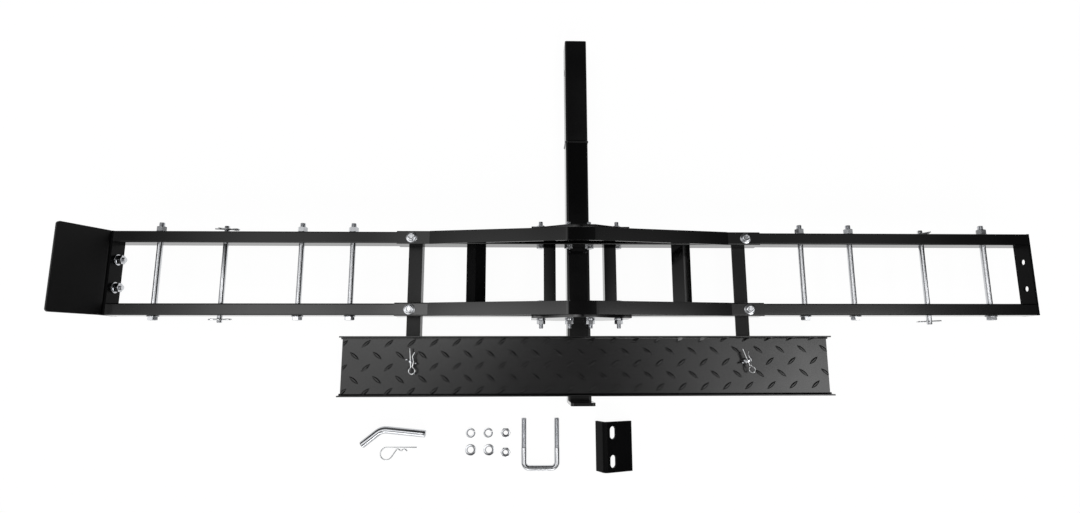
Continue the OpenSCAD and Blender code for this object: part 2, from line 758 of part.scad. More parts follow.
module bracket_nuts() {
    color(zinc) seat() for (side = [-1, 1], x = bolt_xs)
        quarter(1, side) translate([x, sleeve_outer + bracket_t + washer_t, bolt_z]) rotate([-90, 0, 0])
            hex_nut(m10, m10_flats, m10_nut);
}

// Upright bolts that hold an end rail in the centre rail, and the ramp arm under both
module joint_bolts() {
    length = washer_t + sleeve_h + angle_t + m10_nut + bolt_end / 2;
    color(zinc) seat() for (x = [-1, 1], y = [-1, 1])
        translate([x * joint_x, y * rail_y, sleeve_h + washer_t]) mirror([0, 0, 1])
            hex_bolt(m10, m10_flats, m10_head, length);
}

module joint_washers() {
    color(zinc) seat() for (x = [-1, 1], y = [-1, 1])
        translate([x * joint_x, y * rail_y, sleeve_h]) washer(m10, joint_washer_d, washer_t);
}

module joint_nuts() {
    color(zinc) seat() for (x = [-1, 1], y = [-1, 1])
        translate([x * joint_x, y * rail_y, -angle_t]) mirror([0, 0, 1])
            hex_nut(m10, m10_flats, m10_nut);
}

// Plain pin across the track, cross-drilled near both ends for its clips
module wheel_pin(side_x, shift, roll_front, roll_rear) {
    color(zinc) seat() translate([side_x * wheel_pin_x, -shift, axle_z]) difference() {
        rod_y(0, -wheel_pin_length / 2, 0, wheel_pin_d, wheel_pin_length);
        translate([0, -clip_y, 0]) rotate([0, roll_front, 0])
            rod_x(-wheel_pin_d, 0, 0, clip_wire + 2 * clip_gap, 2 * wheel_pin_d);
        translate([0, clip_y, 0]) rotate([0, roll_rear, 0])
            rod_x(-wheel_pin_d, 0, 0, clip_wire + 2 * clip_gap, 2 * wheel_pin_d);
    }
}

module pin_clip(side_x, side_y, shift, roll) {
    color(zinc) seat() translate([side_x * wheel_pin_x, side_y * clip_y - shift, axle_z])
        rotate([0, roll, 0]) rotate([90, 0, 0])
            spring_clip(wheel_pin_d, pin_leg, pin_neck, pin_run, pin_flare);
}

// One raised tread lug: a lens cut from two circles
module lug() {
    r = (pow(lug_length / 2, 2) + pow(lug_w / 2, 2)) / lug_w;
    intersection() {
        translate([0, lug_w / 2 - r, 0]) cylinder(r = r, h = lug_h, $fn = 120);
        translate([0, r - lug_w / 2, 0]) cylinder(r = r, h = lug_h, $fn = 120);
    }
}

// Rows of lugs that lean one way and the other by turns
module tread() {
    count = floor((ramp_length / 2 - lug_length) / lug_pitch);
    for (row = [0:lug_rows - 1]) {
        odd = row % 2;
        for (i = [-count:count - odd])
            translate([(i + odd / 2) * lug_pitch, (row - (lug_rows - 1) / 2) * lug_row, 0])
                rotate([0, 0, odd == 0 ? lug_slope : -lug_slope]) lug();
    }
}

// Cross-section of the ramp: a floor with both edges turned up
module ramp_outline() {
    outer = lip_bend + ramp_t;
    half = ramp_w / 2;
    translate([-half + outer, 0]) square([ramp_w - 2 * outer, ramp_t]);
    for (side = [0, 1]) mirror([side, 0]) {
        translate([half - ramp_t, outer]) square([ramp_t, lip_h - outer]);
        translate([half - outer, outer]) intersection() {
            difference() {
                circle(r = outer);
                circle(r = lip_bend);
            }
            translate([0, -outer]) square(outer);
        }
    }
}

// Loading ramp, stowed in front of the track
module ramp() {
    half = ramp_length / 2;
    floor_w = ramp_w - 2 * (lip_bend + ramp_t);
    color(black) seat() difference() {
        translate([ramp_shift, -ramp_y, 0]) {
            difference() {
                translate([-half, 0, 0]) rotate([90, 0, 90]) linear_extrude(ramp_length) ramp_outline();
                for (side = [0, 1]) mirror([side, 0, 0])
                    translate([half - lip_past, -floor_w / 2, -1]) cube([2 * lip_past, floor_w, ramp_t + 2]);
            }
            translate([0, 0, ramp_t]) difference() {
                tread();
                for (side = [-1, 1])
                    translate([side * stud_x - ramp_shift, ramp_y - stud_y, -1])
                        cylinder(d = wing_hub_d + 4, h = lug_h + 2);
            }
            translate([half - lip_past - ramp_t, -floor_w / 2, -hook_drop + ramp_t])
                cube([ramp_t, floor_w, hook_drop]);
        }
        for (side = [-1, 1])
            rod_z(side * stud_x, -stud_y, -ramp_t, stud_d + 2 * bolt_gap, 3 * ramp_t);
    }
}

// Studs that stand up through the arms and the ramp, cross-drilled for their clips
module ramp_studs() {
    color(zinc) seat() for (side = [-1, 1])
        translate([side * stud_x, -stud_y, 0]) difference() {
            translate([0, 0, -angle_t])
                hex_bolt(stud_d, stud_flats, stud_head, angle_t + stud_top);
            translate([0, 0, ramp_clip_z])
                rotate([0, 0, side < 0 ? ramp_clip_turn_left : ramp_clip_turn_right])
                    rod_x(-stud_d, 0, 0, clip_wire + 2 * clip_gap, 2 * stud_d);
        }
}

// One wing in X and Z: a round tip carried by a tapering arm from the hub
module wing_outline() {
    root = stud_d / 2 + 1;
    hub_h = wing_h / 2;
    tip = [wing_span / 2 - wing_tip, wing_h - wing_tip];
    heading = atan2(tip[1] - (wing_foot + hub_h) / 2, tip[0] - root);
    beside = 0.9 * wing_tip * [-sin(heading), cos(heading)];
    translate(tip) circle(r = wing_tip);
    polygon([[root, wing_foot], tip - beside, tip + beside, [root, hub_h]]);
}

// Wing nut on the origin: a tapered hub with two raised wings
module wing_nut() {
    difference() {
        union() {
            cylinder(d1 = wing_hub_d, d2 = wing_hub_d - 2, h = wing_h / 2);
            for (side = [0, 1]) mirror([side, 0, 0])
                translate([0, wing_t / 2, 0]) rotate([90, 0, 0]) linear_extrude(wing_t) wing_outline();
        }
        translate([0, 0, -1]) cylinder(d = stud_d + 2 * thread_gap, h = wing_h + 2);
    }
}

module wing_nut_at(side_x) {
    color(zinc) seat() translate([side_x * stud_x, -stud_y, ramp_t])
        rotate([0, 0, side_x * wing_turn]) wing_nut();
}

module ramp_clip_left() {
    color(zinc) seat() translate([-stud_x, -stud_y, ramp_clip_z]) rotate([0, 0, ramp_clip_turn_left])
        spring_clip(stud_d, ramp_leg, ramp_neck, ramp_run, ramp_flare);
}

// The right ramp clip is rolled, so its free leg stands wider to pass the stud
module ramp_clip_right() {
    passed_d = (stud_d + clip_wire) / cos(ramp_clip_roll_right) - clip_wire;
    color(zinc) seat() translate([stud_x, -stud_y, ramp_clip_z]) rotate([0, 0, ramp_clip_turn_right])
        rotate([ramp_clip_roll_right, 0, 0])
            spring_clip(passed_d, ramp_leg, ramp_neck, ramp_run, ramp_flare);
}

// Bent hitch pin, lying in front of the carrier
module hitch_pin() {
    set = hitch_bend * tan(hitch_handle_angle / 2);
    color(zinc) seat() translate([pin_end_x, pin_end_y, floor_z + hitch_pin_d / 2])
        rotate([0, 0, 180 - pin_slant]) difference() {
            wire([[0, hitch_pin_length - set], [hitch_handle_angle, hitch_bend],
                [0, hitch_handle - set]], hitch_pin_d, 32);
            rod_z(hitch_clip_setback, 0, -hitch_pin_d, clip_wire + 1, 2 * hitch_pin_d);
        }
}

// Larger spring clip for the hitch pin. Its straight leg is a tangent of its ring.
module hitch_pin_clip() {
    neck_v = clip_wire + neck_gap;
    ring_v = loose_ring * (1 + cos(loose_lean));
    slant = (ring_v - neck_v - clip_bend * (1 - cos(loose_lean))) / sin(loose_lean);
    hump_turn = double_bend_turn(loose_run, loose_crest, clip_bend);
    hump_length = double_bend_length(loose_run, loose_crest, clip_bend);
    color(zinc) seat() translate([loose_clip_x, loose_clip_y, floor_z + clip_wire / 2])
        rotate([0, 0, 180]) wire([[0, loose_leg], [180 + loose_lean, loose_ring], [0, slant],
            [-loose_lean, clip_bend],
            [-hump_turn, clip_bend], [0, hump_length], [hump_turn, clip_bend],
            [hump_turn, clip_bend], [0, hump_length], [-hump_turn, clip_bend],
            [-loose_flare_turn, clip_bend], [0, loose_flare]], clip_wire);
}

// Square U-bolt lying flat, its threaded ends toward the track
module u_bolt() {
    corner = u_bend + m12 / 2;
    pitch = u_inside + m12;
    color(zinc) seat() translate([u_x - pitch / 2, u_end_y, floor_z + m12 / 2]) rotate([0, 0, -90])
        square_rod([[0, u_length - m12 / 2 - corner], [90, corner], [0, pitch - 2 * corner], [90, corner],
            [0, u_length - m12 / 2 - corner]], m12);
}

// Cross-section of a sheet bent square, with its outer corner on the origin
module bent_sheet(width, height, t, bend) {
    outer = bend + t;
    translate([outer, 0]) square([width - outer, t]);
    translate([0, outer]) square([t, height - outer]);
    intersection() {
        translate([outer, outer]) difference() {
            circle(r = outer);
            circle(r = bend);
        }
        square(outer);
    }
}

// Slotted angle that the U-bolt pulls on. It lies on the edges of both legs.
module anti_tilt_bracket() {
    short_leg = anti_w * tan(anti_tilt) + anti_t * (1 - tan(anti_tilt));
    ridge_z = short_leg * cos(anti_tilt) + anti_t * sin(anti_tilt);
    color(black) seat() translate([anti_x, anti_y, floor_z + ridge_z]) rotate([0, anti_tilt, 0])
        difference() {
            translate([0, anti_l / 2, 0]) rotate([90, 0, 0]) linear_extrude(anti_l)
                mirror([0, 1]) bent_sheet(anti_w, short_leg, anti_t, anti_bend);
            for (side = [-1, 1])
                translate([anti_slot_in, side * anti_slot_spacing / 2, -2 * anti_t])
                    linear_extrude(3 * anti_t) {
                        square([anti_slot_w, anti_slot - anti_slot_w], center = true);
                        for (end = [-1, 1])
                            translate([0, end * (anti_slot - anti_slot_w) / 2]) circle(d = anti_slot_w);
                    }
        }
}

// Split spring washers
module lock_washers() {
    color(zinc) seat() for (x = lock_xs)
        translate([x, lock_y, floor_z]) difference() {
            washer(m12, lock_washer_d, lock_washer_t);
            translate([(lock_washer_d + m12) / 4, 0, lock_washer_t / 2]) rotate([0, 0, lock_slit_turn])
                cube([lock_washer_d / 2, lock_slit, 2 * lock_washer_t], center = true);
        }
}

module flat_washers() {
    color(zinc) seat() for (x = flat_xs)
        translate([x, flat_y, floor_z]) washer(m12 + flat_play, m12_washer_d, washer_t);
}

module u_bolt_nuts() {
    color(zinc) seat() for (y = nut_ys)
        translate([nut_x, y, floor_z]) hex_nut(m12, m12_flats, m12_nut);
}

hitch_shank();
main_bar();
ramp_stop();
bracket_plate(false);  // rear_bracket_plate
bracket_plate(true);  // front_bracket_plate
centre_rail(1);  // rear_centre_rail
centre_rail(-1);  // front_centre_rail
arch(1);  // rear_arch
arch(-1);  // front_arch
end_rail(-1, 1);  // rear_left_rail
end_rail(1, 1);  // rear_right_rail
end_rail(-1, -1);  // front_left_rail
end_rail(1, -1);  // front_right_rail
end_plate(-1);  // left_end_plate
end_plate(1);  // right_end_plate
inner_cross(-1);  // inner_cross_left
inner_cross(1);  // inner_cross_right
mid_cross(-1);  // mid_cross_left
mid_cross(1);  // mid_cross_right
ramp_arm(-1);  // ramp_arm_left
ramp_arm(1);  // ramp_arm_right
wheel_stop();
stop_bolts();
stop_washers();
stop_nuts();
tie_bolts();
tie_washers();
tie_nuts();
bracket_bolts();
bracket_washers();
bracket_nuts();
joint_bolts();
joint_washers();
joint_nuts();
wheel_pin(-1, 0, roll_left_front, roll_left_rear);  // wheel_pin_left
wheel_pin(1, pin_shift, roll_right_front, roll_right_rear);  // wheel_pin_right
pin_clip(-1, 1, 0, roll_left_rear);  // pin_clip_left_rear
pin_clip(-1, -1, 0, roll_left_front);  // pin_clip_left_front
pin_clip(1, 1, pin_shift, roll_right_rear);  // pin_clip_right_rear
pin_clip(1, -1, pin_shift, roll_right_front);  // pin_clip_right_front
ramp();
ramp_studs();
wing_nut_at(-1);  // wing_nut_left
wing_nut_at(1);  // wing_nut_right
ramp_clip_left();
ramp_clip_right();
hitch_pin();
hitch_pin_clip();
u_bolt();
anti_tilt_bracket();
lock_washers();
flat_washers();
u_bolt_nuts();
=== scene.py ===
# Looks of the hitch motorcycle carrier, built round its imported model.
# Sizes and places are in millimetres about the middle of the track, as in the part's source.
import json
import math
from collections import namedtuple

import bmesh
import bpy
from mathutils import Matrix, Vector

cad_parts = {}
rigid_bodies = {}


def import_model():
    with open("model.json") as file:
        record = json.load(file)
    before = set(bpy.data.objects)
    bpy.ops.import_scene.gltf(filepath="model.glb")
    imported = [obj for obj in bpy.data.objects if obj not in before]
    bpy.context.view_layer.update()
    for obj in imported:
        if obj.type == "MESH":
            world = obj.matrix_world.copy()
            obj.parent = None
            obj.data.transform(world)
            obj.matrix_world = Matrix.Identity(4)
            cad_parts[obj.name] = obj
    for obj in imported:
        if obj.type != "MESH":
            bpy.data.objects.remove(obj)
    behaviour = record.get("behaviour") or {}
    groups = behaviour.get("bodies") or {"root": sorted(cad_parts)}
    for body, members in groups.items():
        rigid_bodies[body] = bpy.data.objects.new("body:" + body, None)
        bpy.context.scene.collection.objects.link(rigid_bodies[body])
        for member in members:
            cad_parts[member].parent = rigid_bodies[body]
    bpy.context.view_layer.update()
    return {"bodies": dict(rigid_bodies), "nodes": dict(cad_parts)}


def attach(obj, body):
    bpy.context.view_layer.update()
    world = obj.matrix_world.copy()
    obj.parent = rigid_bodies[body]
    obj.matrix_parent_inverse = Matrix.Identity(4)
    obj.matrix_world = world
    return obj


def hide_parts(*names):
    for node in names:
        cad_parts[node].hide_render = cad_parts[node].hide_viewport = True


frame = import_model()

# The frame's origin is the middle of the hitch pin's hole
MM = 0.001
PIN_Y = 493.0
HALF_BAR = 25.4
FLOOR_Z = -2 * HALF_BAR

# Fasteners: thread, pitch, width across flats, height of head and of nut, and washer's diameter
Fastener = namedtuple("Fastener", "diameter pitch flats head nut washer")
M12 = Fastener(12.0, 1.75, 18.5, 7.5, 10.8, 24.0)
M10 = Fastener(10.0, 1.5, 16.0, 6.4, 8.4, 20.0)
STUD = Fastener(6.0, 1.0, 10.0, 4.0, 8.0, None)
WASHER_T = 2.2
HOLE_PLAY = 0.24
BOLT_END = 9.0

# Track and what is bolted through its rails
TRACK_HALF_L = 1000.0
TRACK_HALF_W = 90.0
END_PLATE_T = 5.0
AXLE_Z = 21.75
RAIL_Y = 77.5
SLEEVE_W = 28.4
SLEEVE_TOP = 43.7
ARM_T = 3.0
TIE_X = [side * x for side in (-1, 1) for x in (493.5, 604.0, 907.0)]
TIE_THREAD = 36.0
BRACKET_X = (-84.0, -23.0, 23.0, 84.0)
BRACKET_T = 6.0
JOINT_X = 363.0
JOINT_WASHER = 24.0
M10_THREAD = 20.0
WHEEL_STOP_T = 5.0
STOP_BOLT_Y = 30.0
STOP_BOLT_Z = 20.0
STOP_THREAD = 22.0

# Arches: a short level land over the bar, and the feet where the strip meets the rails
ARCH_HALF = 325.0
ARCH_LAND = 31.0
ARCH_RISE = 46.0
ARCH_T = 5.0
ARCH_BEND = 3.0
ARCH_ROUND = 0.5

# Spring clips
CLIP_WIRE = 3.0
CLIP_RING = 6.5
CLIP_BEND = 4.0
CLIP_HOLE = 3.6
CLIP_TIP = 0.22
NECK_GAP = 0.6
POST_GAP = 0.3
PIN_CLIP = {"leg": 24.0, "neck": 10.0, "run_in": 9.0, "flare": 5.0}
RAMP_CLIP = {"leg": 28.0, "neck": 11.0, "run_in": 10.0, "flare": 8.0}

# Wheel pins: side, shift toward the front, and how far the rear and front clips are rolled
PIN_D = 11.0
PIN_X = 767.0
PIN_PAST = 15.0
PIN_ROUND = 1.4
PIN_HALF = TRACK_HALF_W + PIN_PAST
CLIP_SETBACK = 7.0
CLIP_Y = PIN_HALF - CLIP_SETBACK
WHEEL_PINS = {"left": (-1, 0.0, 12.0, 0.0), "right": (1, 4.0, 118.0, 126.0)}

# Ramp, and the lug pattern that lies a little askew on its sheet
RAMP_LENGTH = 1061.0
RAMP_W = 127.0
RAMP_T = 3.0
RAMP_X = 16.5
RAMP_Y = -196.5
LIP_H = 20.0
LIP_PAST = 3.0
LIP_BEND = 3.0
HOOK_DROP = 9.0
SHEET_ROUND = 0.4
STUD_HOLE = 7.0
LUG_LENGTH = 26.0
LUG_W = 7.5
LUG_H = 1.4
LUG_SINK = 0.3
LUG_ROW = 25.5
LUG_PITCH = 48.6
LUG_SLOPE = 40.0
LUG_SHIFT_X = -14.1
LUG_SHIFT_Y = 3.5
LUG_SKEW = 0.83
LUG_FREE = 8.0

# What holds the ramp: studs, wing nuts and clips, whose right one passes its stud aslant
STUD_X = 360.5
STUD_Y = -186.5
WING_H = 16.0
WING_SPAN = 27.0
WING_TIP = 3.2
WING_T = 2.6
WING_TURN = 23.0
WING_ROUND = 0.7
WING_GAP = 1.2
STUD_END = 5.0
RAMP_CLIP_Z = RAMP_T + WING_H + WING_GAP + CLIP_WIRE / 2
STUD_TOP = RAMP_CLIP_Z + CLIP_WIRE / 2 + STUD_END
RAMP_CLIPS = {"left": (-1, -86.0, 0.0, STUD.diameter), "right": (1, -70.0, 40.0, 8.749)}

# Loose hitch pin and its larger clip
HITCH_D = 15.9
HITCH_LENGTH = 96.0
HITCH_HANDLE = 54.0
HITCH_TURN = 44.0
HITCH_BEND = 28.0
HITCH_HOLE = 4.0
HITCH_HOLE_X = 9.5
HITCH_AT = (-334.0, -342.0)
HITCH_FACES = 174.0
LOOSE_RING = 13.0
LOOSE_LEAN = 55.0
LOOSE_LEG = 66.0
LOOSE_HUMP_RUN = 7.0
LOOSE_HUMP_RISE = 3.2
LOOSE_FLARE = 5.0
LOOSE_AT = (-353.0, -371.0)
LOOSE_FACES = 180.0

# Loose U-bolt, and the loose washers and nuts that go on it
U_X = -84.0
U_END_Y = -309.0
U_INSIDE = 60.0
U_LENGTH = 112.0
U_THREAD = 64.0
U_CORNER = 12.0
LOCK_X = (-237.0, -198.5)
LOCK_Y = -341.0
LOCK_D = 21.0
LOCK_T = 3.0
LOCK_SLIT = 1.2
LOCK_TURN = 20.0
FLAT_X = (-236.5, -196.5)
FLAT_Y = -377.0
FLAT_BORE = 13.24
NUT_X = -160.0
NUT_Y = (-340.5, -381.5)

# Camera at the photograph's place, from a fit to the carrier's corners
PHOTO_W = 1080
FOCAL_PX = 610.98
SENSOR_W = 36.0
CAMERA_AT = (-122.47, -185.61, 1341.2)
YAW = 0.027707
TILT = -0.169146
ROLL = 0.00187


def place(x, y, z):
    """A point of the carrier, in millimetres, as a move into the frame in metres."""
    return Matrix.Scale(MM, 4) @ Matrix.Translation((x, y - PIN_Y, z + HALF_BAR))


def turn(degrees, axis):
    return Matrix.Rotation(math.radians(degrees), 4, axis)


TOWARD_PLUS_Y = turn(-90, "X")
TOWARD_MINUS_Y = turn(90, "X")
TOWARD_PLUS_X = turn(90, "Y")
DOWNWARD = turn(180, "X")


def photo_camera():
    data = bpy.data.cameras.new("camera")
    data.sensor_width = SENSOR_W
    data.lens = FOCAL_PX * SENSOR_W / PHOTO_W
    data.clip_start = 0.01
    data.clip_end = 100.0
    camera = bpy.data.objects.new("camera", data)
    bpy.context.scene.collection.objects.link(camera)
    to_camera = (Matrix.Rotation(ROLL, 3, "Z") @ Matrix.Rotation(TILT, 3, "X")
                 @ Matrix.Rotation(YAW, 3, "Y"))
    at = Matrix.Translation(place(*CAMERA_AT).translation)
    camera.matrix_world = at @ to_camera.transposed().to_4x4()
    bpy.context.scene.camera = camera


photo_camera()


# Materials
def node_of(tree, kind, **values):
    node = tree.nodes.new(kind)
    for name, value in values.items():
        setattr(node, name, value)
    return node


def set_inputs(node, values):
    for name, value in values.items():
        node.inputs[name].default_value = value


def math_of(tree, operation, first, second):
    """Result of a math node whose two inputs are sockets or numbers."""
    node = node_of(tree, "ShaderNodeMath", operation=operation)
    for i, value in enumerate((first, second)):
        if isinstance(value, float):
            node.inputs[i].default_value = value
        else:
            tree.links.new(value, node.inputs[i])
    return node.outputs[0]


def uneven_finish_group():
    """Blotches and fine grain that every finish of the carrier uses."""
    tree = bpy.data.node_groups.new("uneven_finish", "ShaderNodeTree")
    tree.interface.new_socket(name="Vector", in_out="INPUT", socket_type="NodeSocketVector")
    for name in ("Blotch Scale", "Grain Scale", "Low", "High"):
        tree.interface.new_socket(name=name, in_out="INPUT", socket_type="NodeSocketFloat")
    for name in ("Roughness", "Blotch", "Grain"):
        tree.interface.new_socket(name=name, in_out="OUTPUT", socket_type="NodeSocketFloat")
    given = node_of(tree, "NodeGroupInput")
    result = node_of(tree, "NodeGroupOutput")
    blotch = node_of(tree, "ShaderNodeTexNoise")
    set_inputs(blotch, {"Detail": 5.0})
    grain = node_of(tree, "ShaderNodeTexNoise")
    set_inputs(grain, {"Detail": 2.0})
    spread = node_of(tree, "ShaderNodeMapRange")
    set_inputs(spread, {"From Min": 0.3, "From Max": 0.7})
    link = tree.links.new
    link(given.outputs["Vector"], blotch.inputs["Vector"])
    link(given.outputs["Vector"], grain.inputs["Vector"])
    link(given.outputs["Blotch Scale"], blotch.inputs["Scale"])
    link(given.outputs["Grain Scale"], grain.inputs["Scale"])
    link(blotch.outputs["Fac"], spread.inputs["Value"])
    link(given.outputs["Low"], spread.inputs["To Min"])
    link(given.outputs["High"], spread.inputs["To Max"])
    link(spread.outputs["Result"], result.inputs["Roughness"])
    link(blotch.outputs["Fac"], result.inputs["Blotch"])
    link(grain.outputs["Fac"], result.inputs["Grain"])
    return tree


UNEVEN = uneven_finish_group()


def uneven_material(name, colors, roughness, metallic, scales, grain_height):
    """A material that varies between two colours and two roughnesses, with a fine grain."""
    base, blotched = [(*color, 1) for color in colors]
    low, high = roughness
    blotch_scale, grain_scale = scales
    material = bpy.data.materials.new(name)
    material.use_nodes = True
    tree = material.node_tree
    shader = tree.nodes["Principled BSDF"]
    set_inputs(shader, {"Base Color": base, "Metallic": metallic, "Roughness": low})
    coordinates = node_of(tree, "ShaderNodeTexCoord")
    group = node_of(tree, "ShaderNodeGroup", node_tree=UNEVEN)
    set_inputs(group, {"Blotch Scale": blotch_scale, "Grain Scale": grain_scale, "Low": low, "High": high})
    bump = node_of(tree, "ShaderNodeBump")
    set_inputs(bump, {"Distance": grain_height})
    mix = node_of(tree, "ShaderNodeMix", data_type="RGBA")
    set_inputs(mix, {"A": base, "B": blotched})
    link = tree.links.new
    link(coordinates.outputs["Object"], group.inputs["Vector"])
    link(group.outputs["Roughness"], shader.inputs["Roughness"])
    link(group.outputs["Grain"], bump.inputs["Height"])
    link(bump.outputs["Normal"], shader.inputs["Normal"])
    link(group.outputs["Blotch"], mix.inputs["Factor"])
    link(mix.outputs["Result"], shader.inputs["Base Color"])
    return material, shader


POWDER_SCALES = (9.0, 800.0)
ZINC_SCALES = (60.0, 2500.0)
ZINC_GRAIN = 0.0000015


def powder_coat(name, colors, roughness, grain_height, shine=0.5):
    material, shader = uneven_material(name, colors, roughness, 0.0, POWDER_SCALES, grain_height)
    set_inputs(shader, {"IOR": 1.5, "Specular IOR Level": shine})
    return material


def zinc_plate(name, colors, roughness):
    return uneven_material(name, colors, roughness, 1.0, ZINC_SCALES, ZINC_GRAIN)[0]


# Blacks of the coats, as base and blotch, their roughnesses, and heights of grain in metres
DEEP_BLACK = ((0.0014, 0.0014, 0.0015), (0.0022, 0.0022, 0.0024))
TREAD_BLACK = ((0.002, 0.002, 0.0021), (0.003, 0.003, 0.0032))
BAR_BLACK = ((0.0028, 0.0028, 0.0029), (0.004, 0.004, 0.0042))
SHANK_BLACK = ((0.003, 0.003, 0.0031), (0.0045, 0.0045, 0.0047))
# A lighter black under coats whose reflection is turned down, which paints the grey that light gives those
# parts
PAINTED_LIGHT_BLACK = ((0.004, 0.004, 0.0042), (0.006, 0.006, 0.0063))
SATIN = (0.08, 0.12)
EVEN = (0.15, 0.22)
WORN = (0.16, 0.24)
DULL = (0.3, 0.4)
FINE_GRAIN = 0.00001
GRAIN = 0.00002
COARSE_GRAIN = 0.00003

black_coat = powder_coat("satin_black_powder_coat", DEEP_BLACK, SATIN, FINE_GRAIN)
ramp_coat = powder_coat("tread_plate_powder_coat", TREAD_BLACK, EVEN, COARSE_GRAIN)
# Painted shade: a copy of the black coat with its reflection cut to half, for the right ramp arm and the
# wheel stop
painted_shade_dim_coat = powder_coat("painted_shade_dim_powder_coat", PAINTED_LIGHT_BLACK, DULL, GRAIN, shine=0.25)
# Painted light: the left ramp arm's copy of the coat, with more reflection than its right twin
painted_light_arm_coat = powder_coat("painted_light_arm_powder_coat", PAINTED_LIGHT_BLACK, DULL, GRAIN, shine=0.34)
# Painted shade: a copy of the black coat with its reflection nearly off and a lighter base, a flat dim grey
# for the end plates, the left mid cross and the anti-tilt bracket
painted_shade_coat = powder_coat("painted_shade_powder_coat", PAINTED_LIGHT_BLACK, DULL, GRAIN, shine=0.04)
shank_coat = powder_coat("shank_powder_coat", SHANK_BLACK, WORN, GRAIN)
bar_coat = powder_coat("bar_powder_coat", BAR_BLACK, SATIN, FINE_GRAIN)
# Painted shade: a copy of the satin black coat with its reflection turned a little down, for the arches
painted_shade_arch_coat = powder_coat("painted_shade_arch_powder_coat", DEEP_BLACK, SATIN, FINE_GRAIN, shine=0.42)
zinc = zinc_plate("bright_zinc_plate", ((0.62, 0.63, 0.65), (0.48, 0.49, 0.51)), (0.1, 0.2))
wire_zinc = zinc_plate("spring_wire_zinc", ((0.80, 0.81, 0.82), (0.70, 0.71, 0.72)), (0.12, 0.2))
thread_zinc = zinc_plate("thread_zinc", ((0.66, 0.67, 0.69), (0.54, 0.55, 0.57)), (0.14, 0.26))


# Black steel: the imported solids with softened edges. Each has its edge width and its coat.
BLACK_PIECES = {
    "hitch_shank": (0.6, shank_coat),
    "main_bar": (0.6, bar_coat),
    "ramp_stop": (0.8, black_coat),
    "rear_bracket_plate": (0.7, black_coat),
    "front_bracket_plate": (0.7, black_coat),
    "rear_centre_rail": (0.3, black_coat),
    "front_centre_rail": (0.3, black_coat),
    "rear_left_rail": (0.4, black_coat),
    "rear_right_rail": (0.4, black_coat),
    "front_left_rail": (0.4, black_coat),
    "front_right_rail": (0.4, black_coat),
    "left_end_plate": (0.7, painted_shade_coat),
    "right_end_plate": (0.7, painted_shade_coat),
    "inner_cross_left": (0.5, black_coat),
    "inner_cross_right": (0.5, black_coat),
    # The left mid cross takes the painted shade copy of the coat, and its right twin the plain coat
    "mid_cross_left": (0.5, painted_shade_coat),
    "mid_cross_right": (0.5, black_coat),
    # The two ramp arms take different copies of one coat, which paints light on the left arm and shade on
    # the right
    "ramp_arm_left": (0.5, painted_light_arm_coat),
    "ramp_arm_right": (0.5, painted_shade_dim_coat),
    "wheel_stop": (0.9, painted_shade_dim_coat),
    "anti_tilt_bracket": (0.9, painted_shade_coat)}
# The end plates are all edge from above, and smooth shading would tilt their light
FLAT_SHADED = ("left_end_plate", "right_end_plate")
WELD_WITHIN = 0.00002
FLAT_WITHIN = 0.5
EDGE_FROM = 40
FULL_WEIGHT = 100


def keep_faces_flat(piece, keep_sharp):
    """Lets the large faces lead the shading of the rounded edges beside them."""
    normals = piece.modifiers.new("normals", "WEIGHTED_NORMAL")
    normals.keep_sharp = keep_sharp
    normals.weight = FULL_WEIGHT


def soften(name, width, material):
    """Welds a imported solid's skin, joins its flat faces and rounds its edges."""
    piece = frame["nodes"][name]
    piece.data.materials.clear()
    piece.data.materials.append(material)
    smooth = name not in FLAT_SHADED
    piece.data.polygons.foreach_set("use_smooth", [smooth] * len(piece.data.polygons))
    weld = piece.modifiers.new("weld", "WELD")
    weld.merge_threshold = WELD_WITHIN
    merged = piece.modifiers.new("merged", "DECIMATE")
    merged.decimate_type = "DISSOLVE"
    merged.angle_limit = math.radians(FLAT_WITHIN)
    bevel = piece.modifiers.new("bevel", "BEVEL")
    bevel.width = width * MM
    bevel.segments = 2
    bevel.limit_method = "ANGLE"
    bevel.angle_limit = math.radians(EDGE_FROM)
    bevel.use_clamp_overlap = True
    if smooth:
        keep_faces_flat(piece, keep_sharp=False)


for name, (edge_width, coat) in BLACK_PIECES.items():
    soften(name, edge_width, coat)


# Shaping with bmesh, in millimetres
def close_holes(bm):
    open_edges = [edge for edge in bm.edges if len(edge.link_faces) == 1]
    if open_edges:
        bmesh.ops.holes_fill(bm, edges=open_edges, sides=0)


def cut_off(bm, point, outward):
    """Cuts away what lies past a plane and leaves the cut open."""
    bmesh.ops.bisect_plane(bm, geom=bm.verts[:] + bm.edges[:] + bm.faces[:], dist=0.0001,
                           plane_co=point, plane_no=outward, clear_outer=True)


def round_off(bm, geom, width, segments, affect="EDGES"):
    bmesh.ops.bevel(bm, geom=geom, offset=width, offset_type="OFFSET", segments=segments,
                    profile=0.5, affect=affect, material=-1, clamp_overlap=True)


def edges_past(bm, degrees):
    """Edges where two faces meet at more than an angle."""
    return [edge for edge in bm.edges if edge.calc_face_angle(0) > math.radians(degrees)]


def join(bm, other, *moves):
    """Adds another bmesh, moved by the product of the given matrices, and frees it."""
    matrix = Matrix.Identity(4)
    for move in moves:
        matrix = matrix @ move
    bmesh.ops.transform(other, matrix=matrix, verts=other.verts)
    mesh = bpy.data.meshes.new("joined")
    other.to_mesh(mesh)
    other.free()
    bm.from_mesh(mesh)
    bpy.data.meshes.remove(mesh)


def object_from(name, bm):
    """An object in the scene that takes over a bmesh."""
    mesh = bpy.data.meshes.new(name)
    bm.to_mesh(mesh)
    bm.free()
    made = bpy.data.objects.new(name, mesh)
    bpy.context.scene.collection.objects.link(made)
    return made


